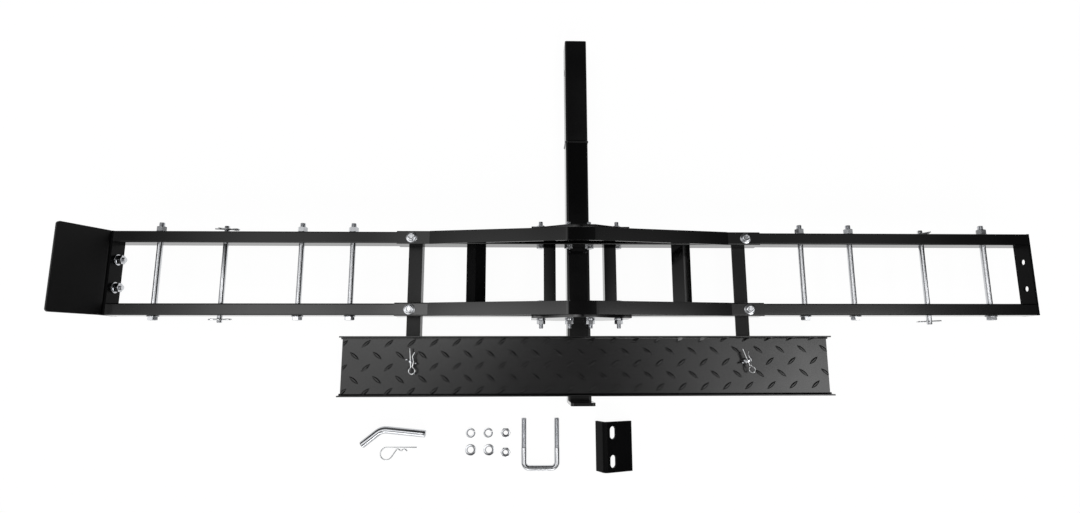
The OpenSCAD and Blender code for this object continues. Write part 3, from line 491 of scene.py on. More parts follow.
def drilled(bm, holes):
    """The bmesh with its cross holes cut. A hole is (diameter, depth, matrix)."""
    bmesh.ops.recalc_face_normals(bm, faces=bm.faces)
    solid = object_from("solid", bm)
    drill_bm = bmesh.new()
    for diameter, depth, matrix in holes:
        bmesh.ops.create_cone(drill_bm, cap_ends=True, segments=32, radius1=diameter / 2,
                              radius2=diameter / 2, depth=depth, matrix=matrix)
    drill = object_from("drill", drill_bm)
    cut = solid.modifiers.new("cut", "BOOLEAN")
    cut.operation = "DIFFERENCE"
    cut.solver = "EXACT"
    cut.object = drill
    evaluated = solid.evaluated_get(bpy.context.evaluated_depsgraph_get())
    done = bpy.data.meshes.new_from_object(evaluated)
    result = bmesh.new()
    result.from_mesh(done)
    meshes = (solid.data, drill.data, done)
    for thing in (solid, drill):
        bpy.data.objects.remove(thing)
    for mesh in meshes:
        bpy.data.meshes.remove(mesh)
    return result


def piece_for(node, material, parts, smooth=32, weighted=False):
    """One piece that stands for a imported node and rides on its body, from parts in millimetres.
    A part is its bmesh and then the moves that put it in place."""
    bm = bmesh.new()
    for part, *moves in parts:
        join(bm, part, *moves)
    bmesh.ops.remove_doubles(bm, verts=bm.verts, dist=0.000001)
    bmesh.ops.recalc_face_normals(bm, faces=bm.faces)
    for face in bm.faces:
        face.smooth = True
    for edge in bm.edges:
        if len(edge.link_faces) == 2 and edge.calc_face_angle(0) > math.radians(smooth):
            edge.smooth = False
    piece = object_from("detailed_" + node, bm)
    piece.data.materials.append(material)
    if weighted:
        keep_faces_flat(piece, keep_sharp=True)
    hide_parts(node)
    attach(piece, node if node in frame["bodies"] else "carrier")


# Turned, hexagonal and threaded shapes along +Z. A turned end closes with a small flat face.
TURNED_SEGMENTS = 48
END_FACE = 0.6


def outline_radius(outline, angle):
    """Radius at an angle of a round (number) or hexagonal ("hex", width across flats) outline."""
    if isinstance(outline, tuple):
        return outline[1] / 2 / math.cos(math.radians(angle % 60 - 30))
    return outline


def turned(stations, closed=False):
    """A profile spun round Z. A station is (outline, height), or (outline, height, chamfer radius)
    where a 30 degree chamfer lowers the outline's corners, or raises them if it is negative."""
    bm = bmesh.new()
    station_of = bm.verts.layers.int.new("station")
    profile = []
    for i, station in enumerate(stations):
        at = (outline_radius(station[0], 30), 0, station[1])
        vert = bmesh.ops.create_vert(bm, co=at)["vert"][0]
        vert[station_of] = i
        profile.append(vert)
    pairs = list(zip(profile, profile[1:]))
    if closed:
        pairs.append((profile[-1], profile[0]))
    edges = [bm.edges.new(pair) for pair in pairs]
    bmesh.ops.spin(bm, geom=profile + edges, cent=(0, 0, 0), axis=(0, 0, 1), dvec=(0, 0, 0),
                   angle=2 * math.pi, steps=TURNED_SEGMENTS, use_merge=True, use_duplicate=False)
    for vert in bm.verts:
        outline, height, *chamfer = stations[vert[station_of]]
        angle = math.atan2(vert.co.y, vert.co.x)
        radius = outline_radius(outline, math.degrees(angle))
        if chamfer:
            fall = (radius - abs(chamfer[0])) * math.tan(math.radians(30))
            height -= math.copysign(fall, chamfer[0])
        vert.co = (radius * math.cos(angle), radius * math.sin(angle), height)
    close_holes(bm)
    return bm


# Depth of a thread and the ends of its crest, flank and root, as shares of its pitch
THREAD_DEPTH = 0.58
CREST_END = 0.14
ROOT_START = 0.5
ROOT_END = 0.64
THREAD_CHAMFER = 1.0
THREAD_STEPS = 24


def thread(diameter, pitch, low, high):
    """Helical thread with flat crests, cut off square at both ends and chamfered there."""
    crest = diameter / 2
    root = crest - THREAD_DEPTH * pitch
    turns = math.ceil((high - low) / pitch) + 3
    bm = bmesh.new()
    profile = []
    for i in range(turns):
        z = low + (i - 1.5) * pitch
        for rise, radius in ((0.0, crest), (CREST_END, crest), (ROOT_START, root), (ROOT_END, root)):
            made = bmesh.ops.create_vert(bm, co=(radius, 0, z + rise * pitch))
            profile.append(made["vert"][0])
    edges = [bm.edges.new(pair) for pair in zip(profile, profile[1:])]
    bmesh.ops.spin(bm, geom=profile + edges, cent=(0, 0, 0), axis=(0, 0, 1),
                   dvec=(0, 0, pitch / THREAD_STEPS), angle=2 * math.pi, steps=THREAD_STEPS,
                   use_merge=False, use_duplicate=False)
    bmesh.ops.remove_doubles(bm, verts=bm.verts, dist=0.001)
    cut_off(bm, (0, 0, low), (0, 0, -1))
    cut_off(bm, (0, 0, high), (0, 0, 1))
    close_holes(bm)
    for vert in bm.verts:
        limit = crest - THREAD_CHAMFER + min(vert.co.z - low, high - vert.co.z)
        radius = math.hypot(vert.co.x, vert.co.y)
        if radius > limit:
            vert.co.x *= limit / radius
            vert.co.y *= limit / radius
    return bm


# Where the chamfer of a head or nut meets its face, and the dish in a head, as shares of the flats
RIM = 0.475
DISH_LIP = 0.45
DISH_EDGE = 0.34
DISH_WALL = 0.31
DISH_FLOOR = 0.25
DISH_DEPTH = 0.7
LEAD_IN = 0.7
SOFT_EDGE = 0.3


def bolt(size, length, thread_length):
    """Hexagon bolt with a dished head below the origin and its shaft upward."""
    hexagon = ("hex", size.flats)
    rim = RIM * size.flats
    radius = size.diameter / 2
    plain = length - thread_length
    top = -size.head
    dish = top + DISH_DEPTH
    bm = turned([
        (END_FACE, dish), (DISH_FLOOR * size.flats, dish), (DISH_WALL * size.flats, top + 0.1),
        (DISH_EDGE * size.flats, top), (DISH_LIP * size.flats, top), (hexagon, top, -rim),
        (hexagon, -0.5), (rim, -SOFT_EDGE), (rim, 0.0), (radius + SOFT_EDGE, 0.0), (radius, SOFT_EDGE),
        (radius, plain - SOFT_EDGE), (radius - 0.5, plain + 0.2)])
    join(bm, thread(size.diameter, size.pitch, plain - 0.5, length))
    return bm


def nut(size):
    """Hexagon nut, chamfered at both ends, with the grooves of its thread in its bore."""
    hexagon = ("hex", size.flats)
    rim = RIM * size.flats
    bore = size.diameter / 2
    top = size.nut
    first = top - LEAD_IN
    stations = [(hexagon, 0.0, -rim), (hexagon, top, rim), (rim, top), (bore + LEAD_IN, top), (bore, first)]
    for i in range(int((top - 2) / size.pitch)):
        stations.append((bore - 0.5 * size.pitch, first - (i + 0.5) * size.pitch))
        stations.append((bore, first - (i + 1) * size.pitch))
    stations += [(bore - 0.5, 0.5), (bore + SOFT_EDGE, 0.0), (rim, 0.0)]
    return turned(stations, closed=True)


def washer(bore, outer):
    """Punched washer: rounded above, with a small burr edge below."""
    soft = 0.5
    burr = 0.15
    inner = bore / 2
    rim = outer / 2
    return turned([
        (inner, burr), (inner, WASHER_T - soft), (inner + soft, WASHER_T), (rim - soft, WASHER_T),
        (rim - 0.3 * soft, WASHER_T - 0.3 * soft), (rim, WASHER_T - soft), (rim, burr),
        (rim - burr, 0.0), (inner + burr, 0.0)], closed=True)


def lock_washer(bore, outer, thickness, slit):
    """One coil of a squared wire with its two cut ends close together."""
    bm = bmesh.new()
    made = bmesh.ops.create_grid(bm, x_segments=1, y_segments=1, size=0.5, matrix=turn(90, "X"))
    for vert in made["verts"]:
        vert.co.x = (bore + outer) / 4 + vert.co.x * (outer - bore) / 2
        vert.co.z = thickness / 2 + vert.co.z * thickness
    round_off(bm, bm.verts[:], 0.5, 3, affect="VERTICES")
    bmesh.ops.delete(bm, geom=bm.faces[:], context="FACES_ONLY")
    gap = slit / (bore + outer) * 4
    bmesh.ops.rotate(bm, verts=bm.verts[:], cent=(0, 0, 0), matrix=Matrix.Rotation(gap / 2, 3, "Z"))
    bmesh.ops.spin(bm, geom=bm.verts[:] + bm.edges[:], cent=(0, 0, 0), axis=(0, 0, 1),
                   dvec=(0, 0, 0), angle=2 * math.pi - gap, steps=44, use_merge=False,
                   use_duplicate=False)
    close_holes(bm)
    return bm


# Bent rods and wires
def wire(steps, diameter, sides=16, tip=CLIP_TIP):
    """Rod swept from the origin toward +X along its steps in the XY plane. A step is (0, length)
    for a straight run or (degrees to the left, radius) for a bend."""
    bm = bmesh.new()
    bmesh.ops.create_circle(bm, cap_ends=False, segments=sides, radius=diameter / 2,
                            matrix=turn(90, "Y"))
    last = bm.verts[:] + bm.edges[:]
    at = Vector((0, 0, 0))
    heading = 0.0
    for bend, size in steps:
        ahead = Vector((math.cos(heading), math.sin(heading), 0))
        if bend == 0:
            made = bmesh.ops.spin(bm, geom=last, cent=at, axis=(0, 0, 1), dvec=ahead * size,
                                  angle=0, steps=1, use_merge=False, use_duplicate=False)
            at = at + ahead * size
        else:
            angle = math.radians(bend)
            to_left = Vector((-ahead.y, ahead.x, 0)) * math.copysign(size, bend)
            middle = at + to_left
            made = bmesh.ops.spin(bm, geom=last, cent=middle, axis=(0, 0, 1), dvec=(0, 0, 0),
                                  angle=angle, steps=max(2, math.ceil(abs(bend) / 9)),
                                  use_merge=False, use_duplicate=False)
            at = middle - Matrix.Rotation(angle, 3, "Z") @ to_left
            heading += angle
        last = made["geom_last"]
    close_holes(bm)
    rims = [edge for edge in bm.edges if any(len(face.verts) == sides for face in edge.link_faces)]
    round_off(bm, rims, tip * diameter, 4)
    return bm


def double_bend(run, rise):
    """Turn and length of the slope between two opposite bends that shift a clip's wire sideways."""
    reach = math.hypot(run, rise - 2 * CLIP_BEND)
    angle = math.degrees(math.atan2(rise - 2 * CLIP_BEND, run) + math.asin(2 * CLIP_BEND / reach))
    return angle, math.sqrt(reach ** 2 - 4 * CLIP_BEND ** 2)


def spring_clip(post, leg, neck, run_in, flare):
    """Hairpin clip: straight leg through the cross hole, ring, neck, hump over the post, flared end."""
    neck_v = CLIP_WIRE + NECK_GAP
    dip_v = (post + CLIP_WIRE) / 2 + POST_GAP
    crest_v = dip_v + 0.5 * CLIP_WIRE
    ring_turn = math.degrees(math.acos((neck_v / 2 + CLIP_BEND) / (CLIP_RING + CLIP_BEND)))
    out_turn, out_length = double_bend(neck, crest_v - neck_v)
    in_turn, in_length = double_bend(run_in, crest_v - dip_v)
    bm = wire([(0, leg + neck), (-ring_turn, CLIP_BEND), (180 + 2 * ring_turn, CLIP_RING),
               (-ring_turn, CLIP_BEND), (-out_turn, CLIP_BEND), (0, out_length),
               (out_turn, CLIP_BEND), (in_turn, CLIP_BEND), (0, in_length), (-in_turn, CLIP_BEND),
               (-30, CLIP_BEND), (0, flare)], CLIP_WIRE)
    bmesh.ops.translate(bm, verts=bm.verts, vec=(-leg, 0, 0))
    return bm


# Fasteners of the track
def tie_hardware():
    """Long bolts across the track, with their heads at the front."""
    front = -TRACK_HALF_W - WASHER_T
    length = 2 * TRACK_HALF_W + 2 * WASHER_T + M12.nut + BOLT_END
    piece_for("tie_bolts", thread_zinc, [
        (bolt(M12, length, TIE_THREAD), place(x, front, AXLE_Z), TOWARD_PLUS_Y) for x in TIE_X])
    piece_for("tie_washers", zinc, [
        (washer(M12.diameter + HOLE_PLAY, M12.washer), place(x, y, AXLE_Z), TOWARD_PLUS_Y)
        for x in TIE_X for y in (front, TRACK_HALF_W)])
    piece_for("tie_nuts", zinc, [
        (nut(M12), place(x, TRACK_HALF_W + WASHER_T, AXLE_Z), TOWARD_PLUS_Y) for x in TIE_X])


def bracket_hardware():
    """Bolts of the centre rails on the bracket plates, with their heads inward."""
    inner = RAIL_Y - SLEEVE_W / 2
    outer = RAIL_Y + SLEEVE_W / 2 + BRACKET_T
    z = SLEEVE_TOP / 2
    length = outer - inner + WASHER_T + M10.nut + BOLT_END
    outward = {1: TOWARD_PLUS_Y, -1: TOWARD_MINUS_Y}
    spots = [(x, side) for x in BRACKET_X for side in (-1, 1)]
    piece_for("bracket_bolts", thread_zinc, [
        (bolt(M10, length, M10_THREAD), place(x, side * inner, z), outward[side]) for x, side in spots])
    piece_for("bracket_washers", zinc, [
        (washer(M10.diameter + HOLE_PLAY, M10.washer), place(x, side * outer, z), outward[side])
        for x, side in spots])
    piece_for("bracket_nuts", zinc, [
        (nut(M10), place(x, side * (outer + WASHER_T), z), outward[side]) for x, side in spots])


def joint_hardware():
    """Upright bolts that hold end rail, centre rail and ramp arm together."""
    head_z = SLEEVE_TOP + WASHER_T
    length = head_z + ARM_T + M10.nut + BOLT_END / 2
    spots = [(x, y) for x in (-JOINT_X, JOINT_X) for y in (-RAIL_Y, RAIL_Y)]
    piece_for("joint_bolts", zinc, [
        (bolt(M10, length, M10_THREAD), place(x, y, head_z), DOWNWARD) for x, y in spots])
    piece_for("joint_washers", zinc, [
        (washer(M10.diameter + HOLE_PLAY, JOINT_WASHER), place(x, y, SLEEVE_TOP)) for x, y in spots])
    piece_for("joint_nuts", zinc, [(nut(M10), place(x, y, -ARM_T), DOWNWARD) for x, y in spots])


def stop_hardware():
    """Bolts of the wheel stop on the left end plate, with their heads outward."""
    outer = -TRACK_HALF_L - WHEEL_STOP_T
    inner = -TRACK_HALF_L + END_PLATE_T
    length = inner - outer + WASHER_T + M12.nut + BOLT_END / 2
    sides = (-STOP_BOLT_Y, STOP_BOLT_Y)
    piece_for("stop_bolts", thread_zinc, [
        (bolt(M12, length, STOP_THREAD), place(outer, y, STOP_BOLT_Z), TOWARD_PLUS_X) for y in sides])
    piece_for("stop_washers", zinc, [
        (washer(M12.diameter + HOLE_PLAY, M12.washer), place(inner, y, STOP_BOLT_Z), TOWARD_PLUS_X)
        for y in sides])
    piece_for("stop_nuts", zinc, [
        (nut(M12), place(inner + WASHER_T, y, STOP_BOLT_Z), TOWARD_PLUS_X) for y in sides])


def wheel_pin():
    """Plain pin along Z with softened ends."""
    radius = PIN_D / 2
    return turned([
        (END_FACE, -PIN_HALF), (radius - PIN_ROUND, -PIN_HALF), (radius - 0.4, 0.5 - PIN_HALF),
        (radius, PIN_ROUND - PIN_HALF), (radius, PIN_HALF - PIN_ROUND), (radius - 0.4, PIN_HALF - 0.5),
        (radius - PIN_ROUND, PIN_HALF), (END_FACE, PIN_HALF)])


def wheel_pins_and_clips():
    for word, (side, shift, rear_roll, front_roll) in WHEEL_PINS.items():
        holes = [(CLIP_HOLE, 2 * PIN_D, turn(-roll, "Z") @ Matrix.Translation((0, 0, y)) @ TOWARD_PLUS_X)
                 for y, roll in ((CLIP_Y, rear_roll), (-CLIP_Y, front_roll))]
        piece_for("wheel_pin_" + word, thread_zinc, [
            (drilled(wheel_pin(), holes), place(side * PIN_X, -shift, AXLE_Z), TOWARD_PLUS_Y)])
        for end, end_side, roll in (("rear", 1, rear_roll), ("front", -1, front_roll)):
            piece_for(f"pin_clip_{word}_{end}", wire_zinc, [
                (spring_clip(PIN_D, **PIN_CLIP),
                 place(side * PIN_X, end_side * CLIP_Y - shift, AXLE_Z), turn(roll, "Y"), TOWARD_MINUS_Y)])


# What holds the ramp on its arms
WING_FOOT_AT = (4.4, 0, 4.75)
WING_FOOT_SIZE = (0.8, 3.4, 6.3, 1)


def wing():
    """A wing of the wing nut toward +X: thick at the hub, thin and round at its raised tip."""
    bm = bmesh.new()
    tip_at = (WING_SPAN / 2 - WING_TIP, 0, WING_H - WING_TIP)
    bmesh.ops.create_cone(bm, cap_ends=True, segments=24, radius1=WING_TIP, radius2=WING_TIP,
                          depth=WING_T, matrix=Matrix.Translation(tip_at) @ TOWARD_PLUS_Y)
    bmesh.ops.create_cube(bm, size=1.0, matrix=Matrix.Translation(WING_FOOT_AT)
                          @ Matrix.Diagonal(WING_FOOT_SIZE))
    hull = bmesh.ops.convex_hull(bm, input=bm.verts[:] + bm.edges[:] + bm.faces[:])
    inside = [v for v in hull["geom_interior"] + hull["geom_unused"] if isinstance(v, bmesh.types.BMVert)]
    bmesh.ops.delete(bm, geom=list(set(inside)), context="VERTS")
    bmesh.ops.dissolve_limit(bm, angle_limit=math.radians(1), verts=bm.verts[:], edges=bm.edges[:])
    round_off(bm, edges_past(bm, EDGE_FROM), WING_ROUND, 3)
    return bm


def wing_nut():
    """Tapered hub with a rounded rim and two raised wings."""
    bore = STUD.diameter / 2 + 0.1
    bm = turned([(bore, 0.0), (5.6, 0.0), (6.0, 0.5), (5.3, 6.6), (4.6, 7.7), (3.9, STUD.nut),
                 (bore, STUD.nut)], closed=True)
    for degrees in (180, 0):
        join(bm, wing(), turn(degrees, "Z"))
    return bm


def ramp_hardware():
    studs = []
    for word, (side, clip_turn, clip_roll, passed) in RAMP_CLIPS.items():
        hole = (CLIP_HOLE, 2 * STUD.diameter,
                Matrix.Translation((0, 0, RAMP_CLIP_Z + ARM_T)) @ turn(clip_turn, "Z") @ TOWARD_PLUS_X)
        stud = bolt(STUD, STUD_TOP + ARM_T, STUD_TOP - RAMP_T)
        studs.append((drilled(stud, [hole]), place(side * STUD_X, STUD_Y, -ARM_T)))
        piece_for("wing_nut_" + word, zinc, [
            (wing_nut(), place(side * STUD_X, STUD_Y, RAMP_T), turn(WING_TURN * side, "Z"))])
        piece_for("ramp_clip_" + word, wire_zinc, [
            (spring_clip(passed, **RAMP_CLIP), place(side * STUD_X, STUD_Y, RAMP_CLIP_Z),
             turn(clip_turn, "Z"), turn(clip_roll, "X"))])
    piece_for("ramp_studs", thread_zinc, studs)


# Loose hardware on the floor
def hitch_pin():
    """Bent rod with a drilled end."""
    set_back = HITCH_BEND * math.tan(math.radians(HITCH_TURN / 2))
    rod = wire([(0, HITCH_LENGTH - set_back), (HITCH_TURN, HITCH_BEND), (0, HITCH_HANDLE - set_back)],
               HITCH_D, sides=32, tip=0.13)
    rod = drilled(rod, [(HITCH_HOLE, 2 * HITCH_D, Matrix.Translation((HITCH_HOLE_X, 0, 0)))])
    piece_for("hitch_pin", zinc, [
        (rod, place(*HITCH_AT, FLOOR_Z + HITCH_D / 2), turn(HITCH_FACES, "Z"))])


def hitch_pin_clip():
    """Spring clip whose straight leg runs on into the ring."""
    lean = math.radians(LOOSE_LEAN)
    ring_v = LOOSE_RING * (1 + math.cos(lean))
    slant = (ring_v - CLIP_WIRE - NECK_GAP - CLIP_BEND * (1 - math.cos(lean))) / math.sin(lean)
    hump_turn, hump_length = double_bend(LOOSE_HUMP_RUN, LOOSE_HUMP_RISE)
    clip = wire([(0, LOOSE_LEG), (180 + LOOSE_LEAN, LOOSE_RING), (0, slant), (-LOOSE_LEAN, CLIP_BEND),
                 (-hump_turn, CLIP_BEND), (0, hump_length), (hump_turn, CLIP_BEND),
                 (hump_turn, CLIP_BEND), (0, hump_length), (-hump_turn, CLIP_BEND),
                 (-40, CLIP_BEND), (0, LOOSE_FLARE)], CLIP_WIRE)
    piece_for("hitch_pin_clip", wire_zinc, [
        (clip, place(*LOOSE_AT, FLOOR_Z + CLIP_WIRE / 2), turn(LOOSE_FACES, "Z"))])


def u_bolt():
    """Square U from one rod, whose two legs end in threads toward the rear."""
    half = (U_INSIDE + M12.diameter) / 2
    z = FLOOR_Z + M12.diameter / 2
    straight = U_LENGTH - U_CORNER - M12.diameter / 2 - U_THREAD + 1
    base = 2 * (half - U_CORNER)
    rod = wire([(0, straight), (90, U_CORNER), (0, base), (90, U_CORNER), (0, straight)],
               M12.diameter, sides=32, tip=0.06)
    parts = [(rod, place(U_X - half, U_END_Y, z), turn(-90, "Z"), Matrix.Translation((U_THREAD - 1, 0, 0)))]
    for x in (U_X - half, U_X + half):
        parts.append((thread(M12.diameter, M12.pitch, 0.0, U_THREAD), place(x, U_END_Y, z),
                      TOWARD_MINUS_Y, Matrix.Translation((0, 0, U_THREAD)), DOWNWARD))
    piece_for("u_bolt", thread_zinc, parts)


def u_bolt_hardware():
    piece_for("lock_washers", zinc, [
        (lock_washer(M12.diameter + HOLE_PLAY, LOCK_D, LOCK_T, LOCK_SLIT), place(x, LOCK_Y, FLOOR_Z),
         turn(LOCK_TURN, "Z")) for x in LOCK_X])
    piece_for("flat_washers", zinc, [
        (washer(FLAT_BORE, M12.washer), place(x, FLAT_Y, FLOOR_Z)) for x in FLAT_X])
    piece_for("u_bolt_nuts", zinc, [(nut(M12), place(NUT_X, y, FLOOR_Z)) for y in NUT_Y])


# Arches
def arch():
    """Bent strip with its middle on X 0, its feet at Z 0 and its width along Y."""
    bm = bmesh.new()
    stations = [-ARCH_HALF, -ARCH_LAND, ARCH_LAND, ARCH_HALF]
    made = bmesh.ops.create_grid(bm, x_segments=3, y_segments=1, size=0.5)
    for vert in made["verts"]:
        i = round((vert.co.x + 0.5) * 3)
        vert.co = (stations[i], vert.co.y * SLEEVE_W, 0.0 if i in (0, 3) else ARCH_RISE)
    raised = bmesh.ops.extrude_face_region(bm, geom=bm.faces[:])
    lowered = [item for item in raised["geom"] if isinstance(item, bmesh.types.BMVert)]
    slope = math.atan2(ARCH_RISE, ARCH_HALF - ARCH_LAND)
    for vert in lowered:
        if abs(vert.co.x) > ARCH_LAND + 1:
            vert.co.x -= math.copysign(ARCH_T / math.sin(slope), vert.co.x)
        else:
            vert.co.z -= ARCH_T
            vert.co.x -= math.copysign(ARCH_T * math.tan(slope / 2), vert.co.x)
    bmesh.ops.recalc_face_normals(bm, faces=bm.faces)
    bends = []
    for edge in bm.edges:
        near, far = edge.verts
        across = abs(near.co.x - far.co.x) < 0.01 and abs(near.co.y - far.co.y) > 1
        if across and abs(near.co.x) < ARCH_HALF / 2:
            bends.append(edge)
    round_off(bm, bends, ARCH_BEND, 4)
    round_off(bm, edges_past(bm, 60), ARCH_ROUND, 2)
    return bm


def arches():
    for word, side in (("rear", 1), ("front", -1)):
        piece_for(word + "_arch", painted_shade_arch_coat, [(arch(), place(0, side * RAIL_Y, SLEEVE_TOP))],
                  smooth=50, weighted=True)


# Ramp: its middle is on the origin and its underside at Z 0
LIP_OUTER = LIP_BEND + RAMP_T
FLOOR_HALF_W = RAMP_W / 2 - LIP_OUTER
FLOOR_HALF_L = RAMP_LENGTH / 2 - LIP_PAST


def ramp_sheet():
    """Bent sheet with both edges turned up, whose lips run past its floor at the ends."""
    bm = bmesh.new()
    half = RAMP_LENGTH / 2
    side = RAMP_W / 2
    path = [(-side, LIP_H)]
    for degrees in range(0, 91, 15):
        angle = math.radians(degrees)
        path.append((-side + LIP_OUTER * (1 - math.cos(angle)), LIP_OUTER * (1 - math.sin(angle))))
    path += [(-y, z) for y, z in reversed(path)]
    along = [-half, -FLOOR_HALF_L, FLOOR_HALF_L, half]
    made = bmesh.ops.create_grid(bm, x_segments=3, y_segments=len(path) - 1, size=0.5)
    for vert in made["verts"]:
        y, z = path[round((vert.co.y + 0.5) * (len(path) - 1))]
        vert.co = (along[round((vert.co.x + 0.5) * 3)], y, z)
    ends = [face for face in bm.faces if abs(face.calc_center_median().x) > FLOOR_HALF_L
            and abs(face.calc_center_median().y) < FLOOR_HALF_W]
    bmesh.ops.delete(bm, geom=ends, context="FACES")
    bmesh.ops.recalc_face_normals(bm, faces=bm.faces)
    floor = min(bm.faces, key=lambda face: face.calc_center_median().length)
    if floor.normal.z > 0:
        bmesh.ops.reverse_faces(bm, faces=bm.faces)
    bmesh.ops.solidify(bm, geom=bm.faces[:], thickness=RAMP_T)
    bmesh.ops.recalc_face_normals(bm, faces=bm.faces)
    round_off(bm, edges_past(bm, 60), SHEET_ROUND, 2)
    return bm


def hook_plate():
    """Plate turned down at the ramp's right end."""
    bm = bmesh.new()
    bmesh.ops.create_cube(bm, size=1.0, matrix=Matrix.Translation(
        (FLOOR_HALF_L - RAMP_T / 2, 0, RAMP_T - HOOK_DROP / 2 - 0.2))
        @ Matrix.Diagonal((RAMP_T, 2 * FLOOR_HALF_W, HOOK_DROP, 1)))
    round_off(bm, bm.edges[:], 0.5, 2)
    return bm


def lug():
    """Domed spindle whose foot is sunk into the sheet under it."""
    bm = bmesh.new()
    radius = ((LUG_LENGTH / 2) ** 2 + (LUG_W / 2) ** 2) / LUG_W
    made = bmesh.ops.create_grid(bm, x_segments=12, y_segments=8, size=1.0)
    for vert in made["verts"]:
        u = math.sin(vert.co.x * math.pi / 2)
        v = math.sin(vert.co.y * math.pi / 2)
        x = u * LUG_LENGTH / 2
        reach = max(0.0, math.sqrt(radius ** 2 - x ** 2) - radius + LUG_W / 2)
        dome = (1 - v ** 4) * (1 - u ** 6)
        vert.co = (x, v * reach, (LUG_H + LUG_SINK) * dome - LUG_SINK)
    bmesh.ops.remove_doubles(bm, verts=bm.verts, dist=0.01)
    close_holes(bm)
    return bm


def clear_studs(bm):
    """Presses a lug flat where the wing nuts sit."""
    for vert in bm.verts:
        for side in (-1, 1):
            if math.hypot(vert.co.x - side * STUD_X + RAMP_X, vert.co.y - STUD_Y + RAMP_Y) < LUG_FREE:
                vert.co.z = min(vert.co.z, RAMP_T - 0.1)


def wrap_into_lips(bm):
    """Runs a lug that lies across a bend up the inside of the bend and its lip."""
    for vert in bm.verts:
        past = abs(vert.co.y) - FLOOR_HALF_W
        if past <= 0:
            continue
        angle = min(past / LIP_BEND, math.pi / 2)
        reach = LIP_BEND - (vert.co.z - RAMP_T)
        vert.co.y = math.copysign(FLOOR_HALF_W + reach * math.sin(angle), vert.co.y)
        vert.co.z = RAMP_T + LIP_BEND - reach * math.cos(angle) + past - angle * LIP_BEND


def add_lugs(bm):
    """Rows of lugs that lean one way and the other by turns. The sheet's ends cut through some."""
    end = FLOOR_HALF_L - 0.5
    for row in range(-2, 3):
        odd = row % 2
        slope = -LUG_SLOPE if odd else LUG_SLOPE
        y = LUG_SHIFT_Y + row * LUG_ROW
        for i in range(-11, 12):
            x = LUG_SHIFT_X + (i + (1 - odd) / 2) * LUG_PITCH
            if abs(x) > end + LUG_LENGTH / 4:
                continue
            one = lug()
            bmesh.ops.transform(one, verts=one.verts, matrix=turn(LUG_SKEW, "Z")
                                @ Matrix.Translation((x, y, RAMP_T)) @ turn(slope, "Z"))
            if abs(x) > end - LUG_LENGTH / 2:
                cut = math.copysign(end, x)
                cut_off(one, (cut, 0, 0), (cut, 0, 0))
                close_holes(one)
            clear_studs(one)
            wrap_into_lips(one)
            join(bm, one)


def ramp():
    bm = ramp_sheet()
    for side in (-1, 1):
        hole = Matrix.Translation((side * STUD_X - RAMP_X, STUD_Y - RAMP_Y, 0))
        bm = drilled(bm, [(STUD_HOLE, LIP_H, hole)])
    join(bm, hook_plate())
    add_lugs(bm)
    piece_for("ramp", ramp_coat, [(bm, place(RAMP_X, RAMP_Y, 0))], smooth=50, weighted=True)


tie_hardware()
bracket_hardware()
joint_hardware()
stop_hardware()
wheel_pins_and_clips()
ramp_hardware()
hitch_pin()
hitch_pin_clip()
u_bolt()
u_bolt_hardware()
arches()
ramp()


# World: a light tent of a ceiling and a front, each the product of two profiles. The stops are
# (slope of the direction across, x over height, or its share along, y) and level.
CEILING_ACROSS = (
    (-1.25, 0.8), (-1.1, 0.8), (-1.05, 3.2), (-0.85, 3.2), (-0.74, 0.35), (-0.62, 0.6), (-0.52, 1.7),
    (-0.44, 2.6), (-0.34, 2.6), (-0.26, 1.9), (-0.16, 3.8), (-0.1, 2.9), (-0.06, 2.0), (0.0, 1.0),
    (0.048, 0.5), (0.06, 0.06), (0.122, 0.06), (0.135, 0.5), (0.16, 0.8), (0.187, 0.9), (0.249, 1.0),
    (0.35, 0.8), (0.526, 1.05), (0.634, 0.85), (0.711, 0.4), (0.788, 0.2), (0.85, 0.1), (1.0, 0.1),
    (1.25, 0.1))
CEILING_ALONG = (
    (-1.25, 0.0), (-0.2, 0.0), (0.02, 0.0), (0.05, 1.0), (0.075, 1.0), (0.15, 0.43), (0.19, 0.38),
    (0.25, 0.3), (0.32, 0.08), (0.6, 0.06), (1.25, 0.03))
FRONT_ACROSS = (
    (-1.25, 0.5), (-0.8, 1.0), (-0.6, 1.6), (-0.245, 1.95), (-0.17, 1.2), (-0.095, 0.7), (0.017, 0.35),
    (0.091, 0.28), (0.166, 0.4), (0.26, 1.15), (0.36, 2.6), (0.45, 4.0), (0.58, 4.0), (0.68, 0.5),
    (0.8, 0.05), (1.25, 0.05))
FRONT_ALONG = (
    (-1.25, 1.6), (-0.7, 1.6), (-0.65, 0.1), (-0.34, 0.1), (-0.27, 0.9), (-0.2, 1.0), (-0.13, 0.65),
    (-0.07, 1.0), (0.04, 1.0), (0.052, 0.0), (1.25, 0.0))
TENT_REACH = 1.25
BRIGHTEST = 6.0
# Keeps the slope within bounds near the horizon
LOWEST_HEIGHT = 0.02


def tent_profile(tree, measure, stops):
    """Level of the tent, as a share of the brightest, along one of its measures."""
    spread = node_of(tree, "ShaderNodeMapRange")
    set_inputs(spread, {"From Min": -TENT_REACH, "From Max": TENT_REACH})
    tree.links.new(measure, spread.inputs["Value"])
    profile = node_of(tree, "ShaderNodeValToRGB")
    marks = profile.color_ramp.elements
    for i, (reach, level) in enumerate(stops):
        position = (reach + TENT_REACH) / (2 * TENT_REACH)
        if 0 < i < len(stops) - 1:
            mark = marks.new(position)
        else:
            mark = marks[0 if i == 0 else -1]
        mark.position = position
        mark.color = (level / BRIGHTEST,) * 3 + (1,)
    tree.links.new(spread.outputs["Result"], profile.inputs["Fac"])
    return profile.outputs["Color"]


